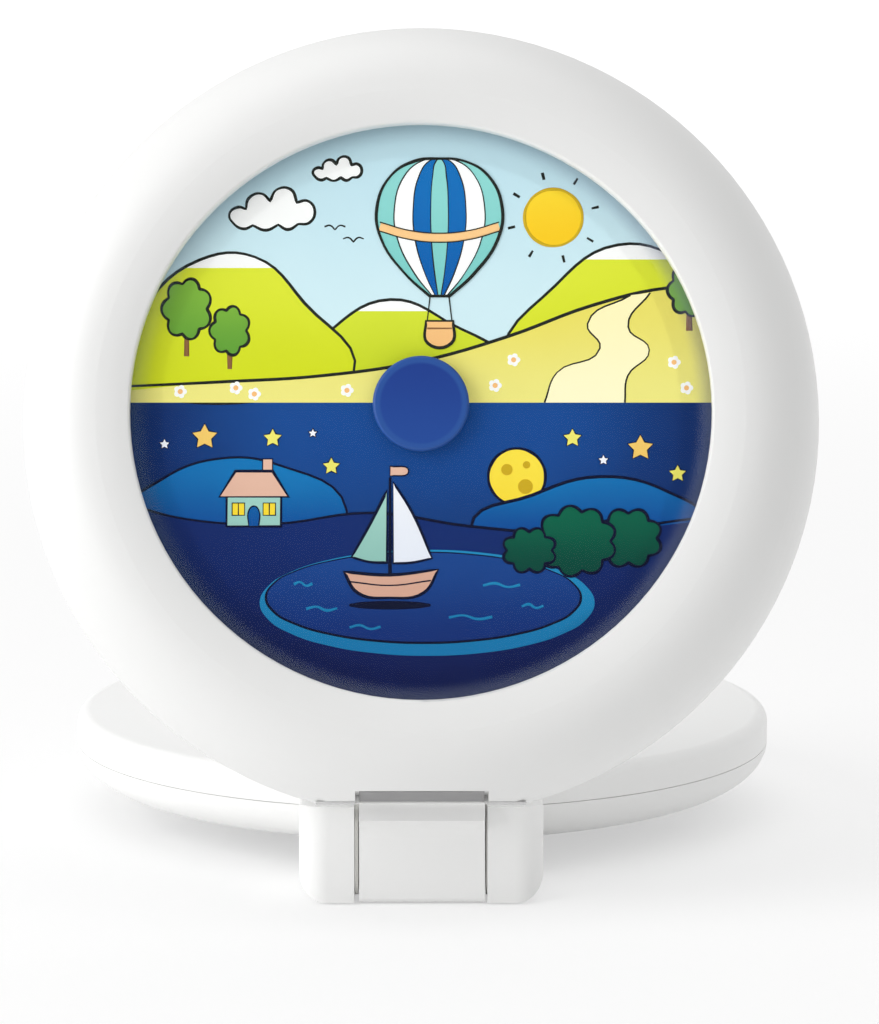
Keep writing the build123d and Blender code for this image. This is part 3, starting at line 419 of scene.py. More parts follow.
# Reflective display, greenish and a little cloudy
def displayFace(name):
    finish = Finish(name)
    middle = middleOf("display_glass")
    fall = finish.along(upHead, middle.dot(upHead)).between(-11 * mm, 11 * mm)
    cloud = finish.noise(6 * mm, 3.0)
    ground = finish.blend(fall, paint(158, 168, 146), paint(176, 186, 164))
    return finish.done(
        finish.principled(
            {
                "Base Color": finish.blend(cloud * 0.2, ground, paint(150, 158, 140)),
                "Roughness": 0.25 + 0.05 * cloud,
            }
        )
    )


def selectOnly(*pieces):
    bpy.ops.object.select_all(action="DESELECT")
    for piece in pieces:
        piece.select_set(True)
    bpy.context.view_layer.objects.active = pieces[0]


# The picture: flat inks in stacked layers on the film, in millimetres of the head's space
picture = {
    "reach": 49.0,  # the ink ends under the ring
    "horizon": 1.6,
    "film": 0.06,  # half its thickness
    "layer": 0.014,
    "thickness": 0.008,
    "line": 0.46,
    # painted glow of the inks, standing in for light through the film from behind
    "glow": 0.2,  # light that comes through from behind
}
inked = {}


# A smooth curve through points. A third value on a point makes it a corner, and a fourth
# gives the line's width there, which otherwise varies as a hand's pressure does.
def curveThrough(points, closed):
    bpy.ops.curve.primitive_bezier_curve_add()
    curve = bpy.context.object
    spline = curve.data.splines[0]
    spline.bezier_points.add(len(points) - 2)
    for knot, point in zip(spline.bezier_points, points):
        knot.co = (point[0], point[1], 0)
        knot.radius = point[3] if len(point) > 3 else 1 + 0.2 * math.sin(1.9 * point[0] + point[1])
        knot.handle_left_type = "VECTOR" if len(point) > 2 and point[2] else "AUTO"
        knot.handle_right_type = knot.handle_left_type
    spline.use_cyclic_u = closed
    spline.resolution_u = 6
    return curve


# The curve as a mesh at the height of its layer, flattened to a share of its depth
def intoMesh(curve, ink, layer, flatness=1):
    selectOnly(curve)
    bpy.ops.object.convert(target="MESH")
    piece = bpy.context.object
    height = picture["film"] + picture["layer"] * (layer + 1)
    piece.data.transform(Matrix.Translation((0, 0, height)) @ Matrix.Diagonal((1, 1, flatness, 1)))
    inked.setdefault(ink, []).append(piece)


def fillIn(points, ink, layer):
    curve = curveThrough(points, True)
    curve.data.dimensions = "2D"
    curve.data.fill_mode = "BOTH"
    curve.data.extrude = picture["thickness"] / 2
    intoMesh(curve, ink, layer)


def stroke(points, ink, layer, width=None, closed=False):
    width = width or picture["line"]
    curve = curveThrough(points, closed)
    curve.data.dimensions = "3D"
    curve.data.bevel_depth = width / 2
    curve.data.bevel_resolution = 1
    curve.data.use_fill_caps = True
    intoMesh(curve, ink, layer, picture["thickness"] / width)


# An inked shape with a line round it
def form(points, ink, layer, line="outline", width=None):
    fillIn(points, ink, layer)
    stroke(points, line, layer + 0.5, width, closed=True)


# Points on the picture's edge from one angle to another, in degrees
def rim(start, end, steps):
    turns = [math.radians(start + (end - start) * step / steps) for step in range(steps + 1)]
    reach = picture["reach"]
    points = [(reach * math.cos(turn), reach * math.sin(turn)) for turn in turns]
    return [(*points[0], True), *points[1:-1], (*points[-1], True)]


def ring(x, y, across, up=None, steps=12):
    up = up or across
    turns = [math.tau * step / steps for step in range(steps)]
    return [(x + across * math.cos(turn), y + up * math.sin(turn)) for turn in turns]


# A motif's points, set at x, y in its size. What else a point says stays with it.
def placed(points, x, y, size=1):
    return [(x + size * a, y + size * b, *rest) for a, b, *rest in points]


def oblong(left, low, right, high):
    return [(left, low, True), (right, low, True), (right, high, True), (left, high, True)]


# Rounded tufts along a closed line, for trees and bushes
def tufts(x, y, across, up, count, swell):
    points = []
    for index in range(count):
        turn = math.tau * index / count
        half = math.pi / count
        points.append((x + across * math.cos(turn), y + up * math.sin(turn), True))
        for part in (0.5, 1.0, 1.5):
            out = swell * math.sin(math.pi * part / 2)
            bend = turn + half * part
            points.append((x + (across + out) * math.cos(bend), y + (up + out) * math.sin(bend)))
    return points


def drawStar(x, y, reach, ink):
    points = []
    for index in range(10):
        turn = math.pi / 2 + math.pi * index / 5
        radius = reach if index % 2 == 0 else reach * 0.54
        points.append((x + radius * math.cos(turn), y + radius * math.sin(turn), True))
    form(points, ink, 1, "nightLine", 0.2)


# The film itself, a thin disc with a faintly rounded edge
film = {
    "radius": 49.4,
    "sides": 180,
    "rounding": 0.02,
}


def cutFilm():
    deep = 2 * picture["film"]
    bpy.ops.mesh.primitive_cylinder_add(vertices=film["sides"], radius=film["radius"], depth=deep)
    piece = bpy.context.object
    piece.name = "pictureFilm"
    bpy.ops.object.mode_set(mode="EDIT")
    bpy.ops.mesh.select_all(action="SELECT")
    bpy.ops.mesh.bevel(offset=film["rounding"], segments=1, affect="EDGES")
    bpy.ops.object.mode_set(mode="OBJECT")
    piece.data.transform(headSpace)
    piece.data.materials.append(mouldedPlastic("filmBase", colours["film"], 0.4))
    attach(piece, "head")
    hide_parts("picture_print")
    print("film cut")


# Where the horizon meets the picture's edge, in degrees
tilt = math.degrees(math.asin(picture["horizon"] / picture["reach"]))


def drawSkies():
    fillIn(rim(tilt, 180 - tilt, 24), "sky", 0)
    fillIn(rim(180 - tilt, 360 + tilt, 24), "night", 0)


def drawSun(x, y, radius):
    form(ring(x, y, radius), "sun", 1, "ochre")
    for turn in range(8):
        bend = math.tau * (turn + 0.3) / 8
        near, far = radius + 1.7, radius + 2.9
        ray = [(x + reach * math.cos(bend), y + reach * math.sin(bend)) for reach in (near, far)]
        stroke(ray, "outline", 1.5, 0.42)


# Each hill's line, ink, layer and the level above which it is white
hills = {
    "left": {
        "line": [(-49, 5), (-45, 17), (-36, 25), (-27, 25.5), (-19, 18), (-11, 6), (-20, 3), (-40, 2)],
        "ink": "lime",
        "layer": 3,
        "snow": 23.7,
    },
    "middle": {
        "line": [(-21, 4), (-14, 14), (-5, 18.5), (4, 15), (14, 6), (4, 3), (-12, 3)],
        "ink": "limeShade",
        "layer": 2,
        "snow": 16.6,
    },
    "right": {
        "line": [(14, 8), (22, 21), (32, 27.5), (42, 25), (49, 17), (46, 5), (24, 5)],
        "ink": "lime",
        "layer": 2,
        "snow": 25.1,
    },
}


def drawHill(line, ink, layer, snow):
    form(line, ink, layer)
    fillIn(line, "white", layer + 0.2)
    bpy.ops.object.mode_set(mode="EDIT")
    bpy.ops.mesh.select_all(action="SELECT")
    bpy.ops.mesh.bisect(plane_co=(0, snow, 0), plane_no=(0, 1, 0), use_fill=True, clear_inner=True)
    bpy.ops.object.mode_set(mode="OBJECT")


# The meadow's upper edge, the path's two sides down to the horizon, and what grows there
meadow = {
    "edge": [(48.3, 20.5, True), (40, 20.4), (28, 17.6), (14, 12.4), (0, 8.4), (-16, 6.0), (-32, 5.0)],
    "left": [(34, 19.2), (27, 14.5), (29, 10.5), (22, 6.5), (20, picture["horizon"])],
    "right": [(33, picture["horizon"]), (33.5, 6.0), (37, 10.2), (33.6, 14.0), (37.2, 19.6)],
    "trees": ((-38, 14, 4.2, 4), (-31, 11, 3.4, 4), (43.5, 17.5, 3.6, 5.6)),  # and their layers
    "flowers": ((-39, 3.4), (-27, 3.0), (-12, 3.6), (-30, 4.0), (12, 4.4), (15, 8.6), (41, 8.2), (43, 4.0)),
}


def drawMeadow():
    edge = meadow["edge"]
    fillIn(edge + rim(176, 180 - tilt, 2) + rim(tilt, 24, 6)[:-1], "meadow", 5)
    stroke([(point[0], point[1]) for point in edge] + [(-49, 4.2)], "outline", 5.5)


def drawPath():
    left, right = meadow["left"], meadow["right"]
    top, foot, otherFoot, otherTop = ((*point, True) for point in (left[0], left[-1], right[0], right[-1]))
    fillIn([top, *left[1:-1], foot, otherFoot, *right[1:-1], otherTop], "cream", 6)
    for side in (left, right):
        stroke(side, "outline", 6.5, 0.26)


def drawTree(x, y, size, layer):
    stroke([(x, y - 4.6 * size / 4), (x, y)], "bark", layer, 0.9)
    form(tufts(x, y + size * 0.7, size * 0.78, size, 7, size * 0.2), "leaf", layer + 0.2)


def drawFlower(x, y):
    petal, spread, heart = 0.46, 0.62, 0.42
    for index in range(5):
        bend = math.tau * index / 5
        fillIn(ring(x + spread * math.cos(bend), y + spread * math.sin(bend), petal, steps=6), "white", 6)
    fillIn(ring(x, y, heart, steps=6), "peach", 6.5)


def drawDayLand():
    for hill in hills.values():
        drawHill(**hill)
    drawMeadow()
    drawPath()
    for tree in meadow["trees"]:
        drawTree(*tree)
    for flower in meadow["flowers"]:
        drawFlower(*flower)


cloudPuffs = [
    (-1.16, -0.28), (-1.28, 0.0), (-1.02, 0.2), (-0.8, 0.14, True), (-0.72, 0.46), (-0.36, 0.6),
    (-0.1, 0.38, True), (0.1, 0.72), (0.5, 0.72), (0.68, 0.34, True), (1.0, 0.38), (1.2, 0.08),
    (1.04, -0.26), (0.72, -0.3, True), (0.42, -0.46), (0.14, -0.32, True), (-0.22, -0.48),
    (-0.6, -0.34, True), (-0.86, -0.44),
]


def drawCloud(x, y, size):
    form(placed(cloudPuffs, x, y, size), "white", 1)


def drawBird(x, y):
    wings = [(-1.7, 0.5), (-0.8, 0.7), (0, 0, True), (0.8, 0.7), (1.7, 0.5)]
    stroke(placed(wings, x, y), "outline", 1, 0.26)


# The balloon in shares of its radius, and the sides of its stripes
balloon = {
    "side": [(0.16, -1.22), (0.55, -0.86), (0.93, -0.3), (1.0, 0.2), (0.78, 0.72), (0.4, 0.96)],
    "stripes": {1.0: ("teal", 8), 0.72: ("white", 9), 0.42: ("royal", 9.5), 0.14: ("teal", 10)},
    "band": ((-0.95, -0.1), (-0.5, -0.23), (0, -0.28), (0.5, -0.23), (0.95, -0.1)),
    "bandWidth": 1.5,
}


def balloonEdge(x, y, radius, share):
    right = [(x + radius * share * a, y + radius * b) for a, b in balloon["side"]]
    left = [(x - radius * share * a, y + radius * b) for a, b in reversed(balloon["side"])]
    first, last = right[0], left[-1]
    return [(*first, True), *right[1:], (x, y + radius), *left[:-1], (*last, True)]


def drawBasket(x, y, radius):
    top = y - 1.62 * radius
    low = y - 1.98 * radius
    hoop = y - 1.74 * radius
    for side in (-1, 1):
        rope = [(x + side * 0.15 * radius, y - 1.22 * radius), (x + side * 2.0, top)]
        stroke(rope, "outline", 8, 0.22)
    form([(x - 2.2, top, True), (x + 2.2, top, True), (x + 1.9, low), (x - 1.9, low)], "peach", 8.5)
    stroke([(x - 2.0, hoop), (x + 2.0, hoop)], "bark", 9.2, 0.3)


def drawBalloon(x, y, radius):
    drawBasket(x, y, radius)
    for share, (ink, layer) in balloon["stripes"].items():
        fillIn(balloonEdge(x, y, radius, share), ink, layer)
    for share in list(balloon["stripes"])[1:]:
        stroke(balloonEdge(x, y, radius, share), "outline", 10.5, 0.2, closed=True)
    band = [(*point, False, 1) for point in placed(balloon["band"], x, y, radius)]
    stroke(band, "peach", 11, balloon["bandWidth"])
    for side in (-1, 1):
        offset = side * balloon["bandWidth"] / 2
        stroke(placed(band, 0, offset), "outline", 11.5, 0.2)
    stroke(balloonEdge(x, y, radius, 1.0), "outline", 12, closed=True)


# Hills behind, the shore line, and the lake as ellipses: x, y, half across, half up, ink, layer
nightLand = {
    "hills": (
        [(-47, -16), (-42, -11), (-33, -7.6), (-23, -8.6), (-12, -16), (-16, -22), (-40, -24)],
        [(8, -19), (18, -13.5), (29, -10.5), (40, -13), (46, -18), (40, -26), (16, -25)],
    ),
    "shore": [
        (-46.5, -15.3), (-38, -17.4), (-24, -18.2), (-8, -16.4), (8, -18.6), (24, -19.6), (45, -17.2),
    ],
    "lake": (
        (1, -31, 27, 8.6, "shore", 4),
        (0.4, -30.2, 25.6, 7.5, "nightLine", 4.4),
        (0.4, -30.1, 25.2, 7.2, "lake", 4.8),
    ),
    "waves": ((-16, -32, 5), (13, -28.2, 6), (8, -33.4, 7), (-9, -35, 5), (18, -31.6, 3.5), (-19, -28, 3)),
}


def drawWave(x, y, length):
    half, sixth = length / 2, length / 6
    wave = [(x - half, y), (x - sixth, y + 0.35), (x + sixth, y - 0.25), (x + half, y + 0.1)]
    stroke(wave, "shore", 5.4, 0.42)


def drawNightLand():
    for hill in nightLand["hills"]:
        form(hill, "nightHill", 2, "nightLine")
    shore = nightLand["shore"]
    fillIn(rim(198.5, 338.8, 20) + shore[-2:0:-1], "ground", 3)
    stroke(shore, "nightLine", 3.5)
    for x, y, across, up, ink, layer in nightLand["lake"]:
        fillIn(ring(x, y, across, up, 20), ink, layer)
    for wave in nightLand["waves"]:
        drawWave(*wave)


def drawMoon(x, y, radius):
    form(ring(x, y, radius), "moon", 1, "nightLine")
    for dx, dy, size in ((-0.35, 0.25, 0.2), (0.3, -0.35, 0.26), (0.34, 0.42, 0.13)):
        fillIn(ring(x + dx * radius, y + dy * radius, size * radius, steps=8), "ochre", 1.6)


boat = {
    "hull": [(-7.4, 0, True), (-5.2, -3.4), (0, -4.2), (5.4, -3.4), (7.8, 0.4, True), (0, -0.5)],
    "plank": [(-6.4, -1.6), (0, -2.2), (6.6, -1.4)],
    "mast": [(0, -0.4), (0, 15.4)],
    "main": [(0.5, 14.6, True), (3.6, 9.6), (6.8, 2.2, True), (3.4, 1.5), (0.5, 1.4, True)],
    "jib": [(-0.5, 13.2, True), (-3.4, 7.4), (-6.2, 2.4, True), (-3.2, 1.6), (-0.5, 1.5, True)],
    "pennant": [(0, 15.6, True), (3.0, 16.4), (0, 17.2, True)],
}


def drawBoat(x, y):
    parts = {name: placed(points, x, y) for name, points in boat.items()}
    form(parts["hull"], "dusk", 8, "nightLine")
    stroke(parts["plank"], "nightLine", 9, 0.22)
    stroke(parts["mast"], "nightLine", 7, 0.5)
    form(parts["main"], "nightWhite", 8, "nightLine")
    form(parts["jib"], "nightTeal", 8, "nightLine")
    form(parts["pennant"], "dusk", 8, "nightLine", 0.24)
    fillIn(ring(x, y - 5.4, 6.6, 0.7), "nightLine", 5.6)


cottage = {
    "wall": oblong(-4.4, 0, 4.4, 5),
    "roof": [(-5.6, 4.8, True), (5.6, 4.8, True), (3.0, 9.0, True), (-3.0, 9.0, True)],
    "chimney": oblong(1.4, 8, 3.0, 11),
    "pane": oblong(-1.0, 1.8, 1.0, 3.8),
    "bar": [(0, 1.8), (0, 3.8)],
    "door": [(-0.8, 0, True), (0.8, 0, True), (0.8, 2.6), (0, 3.3), (-0.8, 2.6)],
    "windows": (-2.5, 2.5),
}


def drawCottage(x, y):
    form(placed(cottage["chimney"], x, y), "dusk", 5, "nightLine", 0.26)
    form(placed(cottage["wall"], x, y), "nightTeal", 5.5, "nightLine")
    form(placed(cottage["roof"], x, y), "dusk", 6.5, "nightLine")
    for across in cottage["windows"]:
        form(placed(cottage["pane"], x + across, y), "moon", 6.5, "nightLine", 0.22)
        stroke(placed(cottage["bar"], x + across, y), "nightLine", 7.2, 0.18)
    form(placed(cottage["door"], x, y), "nightHill", 6.5, "nightLine", 0.22)


# Bushes: x, y, half across, half up, tufts and how far these swell; each in front of the last
bushes = (
    (33.5, -20.5, 4.6, 4.0, 8, 0.9),
    (25, -21, 5.6, 4.8, 9, 1.0),
    (17.5, -22.5, 3.6, 3.0, 8, 0.8),
)


def drawBushes():
    for index, bush in enumerate(bushes):
        form(tufts(*bush), "nightLeaf", 5 + index, "nightLine")


stars = (
    (-35, -4.0, 2.2, "starOrange"),
    (-24, -4.2, 1.6, "starYellow"),
    (-41.5, -5.2, 0.9, "nightWhite"),
    (-14.5, -8.8, 1.5, "starYellow"),
    (-17.5, -3.4, 0.8, "nightWhite"),
    (24.5, -4.2, 1.6, "starYellow"),
    (35.5, -5.8, 2.2, "starOrange"),
    (29.5, -7.8, 0.9, "nightWhite"),
    (41.5, -10.0, 1.5, "starYellow"),
)


# Each ink's low and high tone, the stretch up the picture from one to the other in millimetres,
# and for the night how far it fades towards the edge, a painted shade under the ring
inks = {
    "sky": (paint(206, 232, 238), paint(184, 218, 230), 14, 47),
    "white": (paint(246, 246, 244), paint(252, 252, 251), 0, 47),
    "sun": (paint(246, 200, 34), paint(252, 222, 60), 28, 40),
    "ochre": (paint(196, 160, 30), paint(206, 172, 36), -47, 47),
    "lime": (paint(206, 216, 34), paint(222, 230, 62), 5, 27),
    "limeShade": (paint(196, 210, 40), paint(212, 224, 58), 5, 20),
    "meadow": (paint(234, 226, 128), paint(230, 216, 90), 2, 20),
    "cream": (paint(250, 244, 200), paint(250, 240, 182), 0, 20),
    "leaf": (paint(92, 152, 54), paint(136, 186, 66), 8, 22),
    "bark": (paint(132, 92, 58), paint(150, 108, 70), 0, 30),
    "peach": (paint(242, 186, 120), paint(250, 208, 150), 0, 47),
    "teal": (paint(120, 198, 192), paint(150, 218, 212), 16, 44),
    "royal": (paint(10, 88, 164), paint(22, 116, 188), 16, 44),
    "outline": (paint(28, 32, 28), paint(36, 40, 36), -47, 47),
    "night": (paint(8, 30, 82), paint(22, 72, 142), -36, -2, 0.8),
    "nightHill": (paint(10, 66, 140), paint(18, 116, 178), -22, -8),
    "ground": (paint(12, 24, 74), paint(16, 42, 104), -46, -17),
    "shore": (paint(22, 110, 160), paint(32, 132, 180), -40, -24),
    "lake": (paint(16, 44, 108), paint(24, 66, 134), -38, -24),
    "nightLeaf": (paint(4, 66, 54), paint(8, 96, 70), -26, -16),
    "nightTeal": (paint(130, 178, 168), paint(158, 204, 192), -32, -10),
    "nightWhite": (paint(222, 226, 236), paint(244, 244, 248), -30, 0),
    "dusk": (paint(206, 160, 140), paint(226, 184, 162), -32, -4),
    "moon": (paint(236, 204, 40), paint(246, 220, 70), -24, -6),
    "starYellow": (paint(222, 216, 96), paint(236, 228, 112), -20, 0),
    "starOrange": (paint(226, 184, 90), paint(240, 200, 108), -20, 0),
    "nightLine": (paint(5, 12, 38), paint(8, 16, 46), -47, 1),
    "segment": (paint(34, 40, 36), paint(42, 48, 44), 0, 26),
    "unlit": (paint(134, 144, 122), paint(148, 158, 136), 0, 26),
    "sign": (paint(238, 242, 246), paint(246, 248, 250), -14, -6),
    "mark": (paint(112, 120, 130), paint(122, 130, 140), 0, 22),
}


# Where the small motifs stand: x, y and their size
motifs = {
    "clouds": ((-24, 32.6, 5.6), (-13.5, 39.6, 3.2)),
    "sun": (21.5, 32, 4.7),
    "birds": ((-14, 30), (-11, 28)),
    "balloon": (3, 31.5, 10.2),
    "moon": (15.5, -10.5, 4.6),
    "cottage": (-27, -18.6),
    "boat": (-5, -26),
}


def drawPicture():
    drawSkies()
    for cloud in motifs["clouds"]:
        drawCloud(*cloud)
    drawSun(*motifs["sun"])
    for bird in motifs["birds"]:
        drawBird(*bird)
    drawDayLand()
    drawBalloon(*motifs["balloon"])
    drawNightLand()
    drawMoon(*motifs["moon"])
    for star in stars:
        drawStar(*star)
    drawCottage(*motifs["cottage"])
    drawBushes()
    drawBoat(*motifs["boat"])
    print("picture drawn:", sum(len(pieces) for pieces in inked.values()), "shapes in", len(inked), "inks")


inkFinishes = {}


# Joins all that is drawn in each ink into one mesh, and sets it in its place on a body
def settleInks(space, body, prefix):
    for ink, pieces in inked.items():
        selectOnly(*pieces)
        if len(pieces) > 1:
            bpy.ops.object.join()
        piece = bpy.context.object
        name = ink[0].upper() + ink[1:]
        piece.name = prefix + name
        piece.data.transform(space)
        piece.data.materials.clear()
        if ink not in inkFinishes:
            inkFinishes[ink] = printedInk("ink" + name, *inks[ink])
        piece.data.materials.append(inkFinishes[ink])
        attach(piece, body)
    inked.clear()


# Soft border under the edge of the window: greyer above and on the left as painted shadow of the lip,
# hazy below as painted reflection of the ring in the lens
edgeShadeAndReflection = {
    "inner": 42.0,
    "outer": 48.6,
    "level": 0.19,
    "thickness": 0.01,
    # dark is the painted shadow's strength, haze the painted reflection's
    "dark": 0.08,  # of each face, so twice over
    "haze": 0.13,
    "shadowColour": paint(136, 166, 192),
    "reflectionColour": paint(160, 170, 200),
}


def paintedEdgeFinish():
    finish = Finish("windowShadeAndReflection")
    aslant = Vector((-0.75, 0, 0)) + 0.66 * upHead
    side = finish.along(aslant, filmMiddle.dot(aslant)).between(-20 * mm, 36 * mm)
    away = finish.fromMiddle(filmMiddle)
    # painted shadow above and on the left, painted reflection below, both near the window's edge
    dark = away.between(43.4 * mm, 47.4 * mm) * side * edgeShadeAndReflection["dark"]
    haze = away.between(44.0 * mm, 47.0 * mm) * (1 - side) * edgeShadeAndReflection["haze"]
    return finish.done(
        finish.principled(
            {
                "Base Color": finish.blend(side, edgeShadeAndReflection["reflectionColour"], edgeShadeAndReflection["shadowColour"]),
                "Roughness": 0.5 + 0.1 * finish.noise(0.4 * mm),
                "Specular IOR Level": 0.1,
                "Alpha": dark + haze,
            }
        )
    )


def layPaintedEdge():
    bpy.ops.object.select_all(action="DESELECT")
    inner = edgeShadeAndReflection["inner"]
    bpy.ops.mesh.primitive_circle_add(vertices=180, radius=inner, location=(0, 0, edgeShadeAndReflection["level"]))
    piece = bpy.context.object
    piece.name = "windowShadeAndReflection"
    spread = edgeShadeAndReflection["outer"] / inner
    bpy.ops.object.mode_set(mode="EDIT")
    bpy.ops.mesh.select_all(action="SELECT")
    bpy.ops.mesh.extrude_edges_move()
    bpy.ops.transform.resize(value=(spread, spread, 1))
    bpy.ops.mesh.select_all(action="SELECT")
    bpy.ops.mesh.extrude_region_move(TRANSFORM_OT_translate={"value": (0, 0, edgeShadeAndReflection["thickness"])})
    bpy.ops.mesh.select_all(action="SELECT")
    bpy.ops.mesh.normals_make_consistent(inside=False)
    bpy.ops.object.mode_set(mode="OBJECT")
    bpy.ops.object.transform_apply(location=True, rotation=True, scale=True)
    piece.data.transform(headSpace)
    piece.data.materials.append(paintedEdgeFinish())
    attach(piece, "head")
    print("border laid")


# A block between two corners in the head's space, left selected in edit mode
def startBlock(name, low, high):
    bpy.ops.object.select_all(action="DESELECT")
    bpy.ops.mesh.primitive_cube_add(size=1)
    piece = bpy.context.object
    piece.name = name
    bpy.ops.object.mode_set(mode="EDIT")
    bpy.ops.mesh.select_all(action="SELECT")
    bpy.ops.transform.resize(value=[b - a for a, b in zip(low, high)])
    bpy.ops.transform.translate(value=[(a + b) / 2 for a, b in zip(low, high)])
    return piece


def finishBlock(piece, finish):
    bpy.ops.mesh.select_all(action="SELECT")
    bpy.ops.mesh.bevel(offset=0.04, segments=2, affect="EDGES")
    bpy.ops.object.mode_set(mode="OBJECT")
    piece.data.transform(headSpace)
    piece.data.materials.append(finish)
    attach(piece, "head")


# Dark foam wedge of painted shade, put in the notch above the knuckle where there is only shade, from a
# full back to a thin lip
notchShade = {
    "left": -9.95,
    "right": 10.25,
    "top": -61.41,
    "drop": 1.05,
    "lip": 0.12,
    "back": -8.84,
    "front": -0.6,
}


def fitNotchShade():
    low = (notchShade["left"], notchShade["top"] - notchShade["drop"], notchShade["back"])
    high = (notchShade["right"], notchShade["top"], notchShade["front"])
    piece = startBlock("notchShadeWedge", low, high)
    bpy.ops.mesh.select_all(action="DESELECT")
    bpy.ops.object.mode_set(mode="OBJECT")
    for corner in piece.data.vertices:
        lower = corner.co.y < notchShade["top"] - notchShade["drop"] / 2
        corner.select = lower and corner.co.z > (notchShade["back"] + notchShade["front"]) / 2
    bpy.ops.object.mode_set(mode="EDIT")
    bpy.ops.mesh.select_mode(type="VERT")
    bpy.ops.transform.translate(value=(0, notchShade["drop"] - notchShade["lip"], 0))
    finishBlock(piece, softRubber("paintedNotchShade", colours["notchShadeGrey"], 0.3 * mm))


# Thin pale rubber strips under the head's flat, over the two lugs: painted shade, so that the gap reads as
# the dark line where head and lugs meet
strips = {
    "inner": 10.7,
    "outer": 17.0,
    "top": -62.7,
    "drop": 0.24,
    "back": -9.4,
    "front": -5.2,
}


def fitLugGapShade():
    pale = softRubber("paleRubberGapShade", colours["strip"], 0.3 * mm)
    for name, left in (("lugGapShadeLeft", -strips["outer"]), ("lugGapShadeRight", strips["inner"])):
        right = left + strips["outer"] - strips["inner"]
        low = (left, strips["top"] - strips["drop"], strips["back"])
        finishBlock(startBlock(name, low, (right, strips["top"], strips["front"])), pale)
    print("seal and strips fitted")


# Places and sizes on the display, in millimetres of the space turned to the back
display = {
    "middle": 10.4,
    "time": (None, 7, 4, 5),
    "pitch": (-14.2, -5.2, 5.2, 14.2),
    "height": 11.0,
    "width": 6.0,
    "bar": 1.25,
    "gap": 0.16,
    "slant": 0.08,
    "colon": (2.2, 0.75),  # how far from the middle, and the dots' radius
    "bell": (-17.6, 19.3, 1.5),
    "cell": (16, 19.3),
}
# Bars of each digit: top, upper left, upper right, middle, lower left, lower right, bottom
lit = {0: "1110111", 1: "0010010", 2: "1011101", 3: "1011011", 4: "0111010",
       5: "1101011", 6: "1101111", 7: "1010010", 8: "1111111", 9: "1111011"}


def drawBar(x, y, length, upright, ink):
    half = length / 2 - display["gap"]
    wide = display["bar"] / 2
    neck = half - wide
    shape = [(-half, 0), (-neck, wide), (neck, wide), (half, 0), (neck, -wide), (-neck, -wide)]
    if upright:
        shape = [(b, a) for a, b in shape]
    slanted = []
    for a, b in shape:
        lean = display["slant"] * (y + b - display["middle"])
        slanted.append((x + a + lean, y + b, True))
    fillIn(slanted, ink, 0)


def drawDigit(x, digit):
    y = display["middle"]
    across = display["width"]
    side = across / 2
    half = display["height"] / 2
    bars = (
        (0, half, False),
        (-side, half / 2, True),
        (side, half / 2, True),
        (0, 0, False),
        (-side, -half / 2, True),
        (side, -half / 2, True),
        (0, -half, False),
    )
    for (dx, dy, upright), on in zip(bars, lit.get(digit, "0000000")):
        ink = "segment" if on == "1" else "unlit"
        drawBar(x + dx, y + dy, half if upright else across, upright, ink)


bellBody = [
    (-0.72, -0.5, True), (-0.5, 0.1), (-0.42, 0.5), (0, 0.86),
    (0.42, 0.5), (0.5, 0.1), (0.72, -0.5, True),
]


def drawBell(x, y, size, ink):
    fillIn(placed(bellBody, x, y, size), ink, 0)
    fillIn(ring(x, y - 0.72 * size, 0.2 * size, steps=6), ink, 0)


def drawCell(x, y):
    stroke(oblong(x - 1.9, y - 0.9, x + 1.9, y + 0.9), "segment", 0, 0.25, closed=True)
    fillIn(oblong(x - 1.4, y - 0.5, x + 0.6, y + 0.5), "segment", 0)
    stroke([(x + 2.3, y - 0.35), (x + 2.3, y + 0.35)], "segment", 0, 0.3)


# The time and two small signs on the glass, seen through the window at the back
def drawDisplay():
    for x, digit in zip(display["pitch"], display["time"]):
        drawDigit(x, digit)
    away, radius = display["colon"]
    for dy in (-away, away):
        fillIn(ring(display["slant"] * dy, display["middle"] + dy, radius, steps=8), "segment", 0)
    drawBell(*display["bell"], "segment")
    drawCell(*display["cell"])


# White signs for the keys: clock, bell, minus, plus and lamp
def drawClockSign(x, y):
    stroke(ring(x, y, 1.7), "sign", 0, 0.34, closed=True)
    hands = [(0, 1.05, True, 1), (0, 0, True, 1), (0.75, -0.4, True, 1)]
    stroke(placed(hands, x, y), "sign", 0, 0.34)


def drawBellSign(x, y):
    drawBell(x, y, 1.9, "sign")


def drawMinusSign(x, y):
    stroke([(x - 1.4, y, True, 1), (x + 1.4, y, True, 1)], "sign", 0, 0.5)


def drawPlusSign(x, y):
    drawMinusSign(x, y)
    stroke([(x, y - 1.4, True, 1), (x, y + 1.4, True, 1)], "sign", 0.2, 0.5)


lampGlass = [
    (-0.5, -0.7, True), (-0.62, -0.1), (-1.15, 0.7), (0, 1.75),
    (1.15, 0.7), (0.62, -0.1), (0.5, -0.7, True),
]


def drawLampSign(x, y):
    stroke(placed(lampGlass, x, y), "sign", 0, 0.32, closed=True)
    for dy in (-1.15, -1.6):
        stroke([(x - 0.5, y + dy, True, 1), (x + 0.5, y + dy, True, 1)], "sign", 0, 0.3)


# Keys in one row on the back, each with its sign, and the marks at the switch's two ends as
# x, y and radius
signs = {
    "set_key": (27, drawClockSign),
    "alarm_key": (13.5, drawBellSign),
    "minus_key": (0, drawMinusSign),
    "plus_key": (-13.5, drawPlusSign),
    "light_key": (-27, drawLampSign),
}
keyRow = -10
marks = {"full": (31, 20.4, 0.9), "open": (31, 1.7, 0.8)}


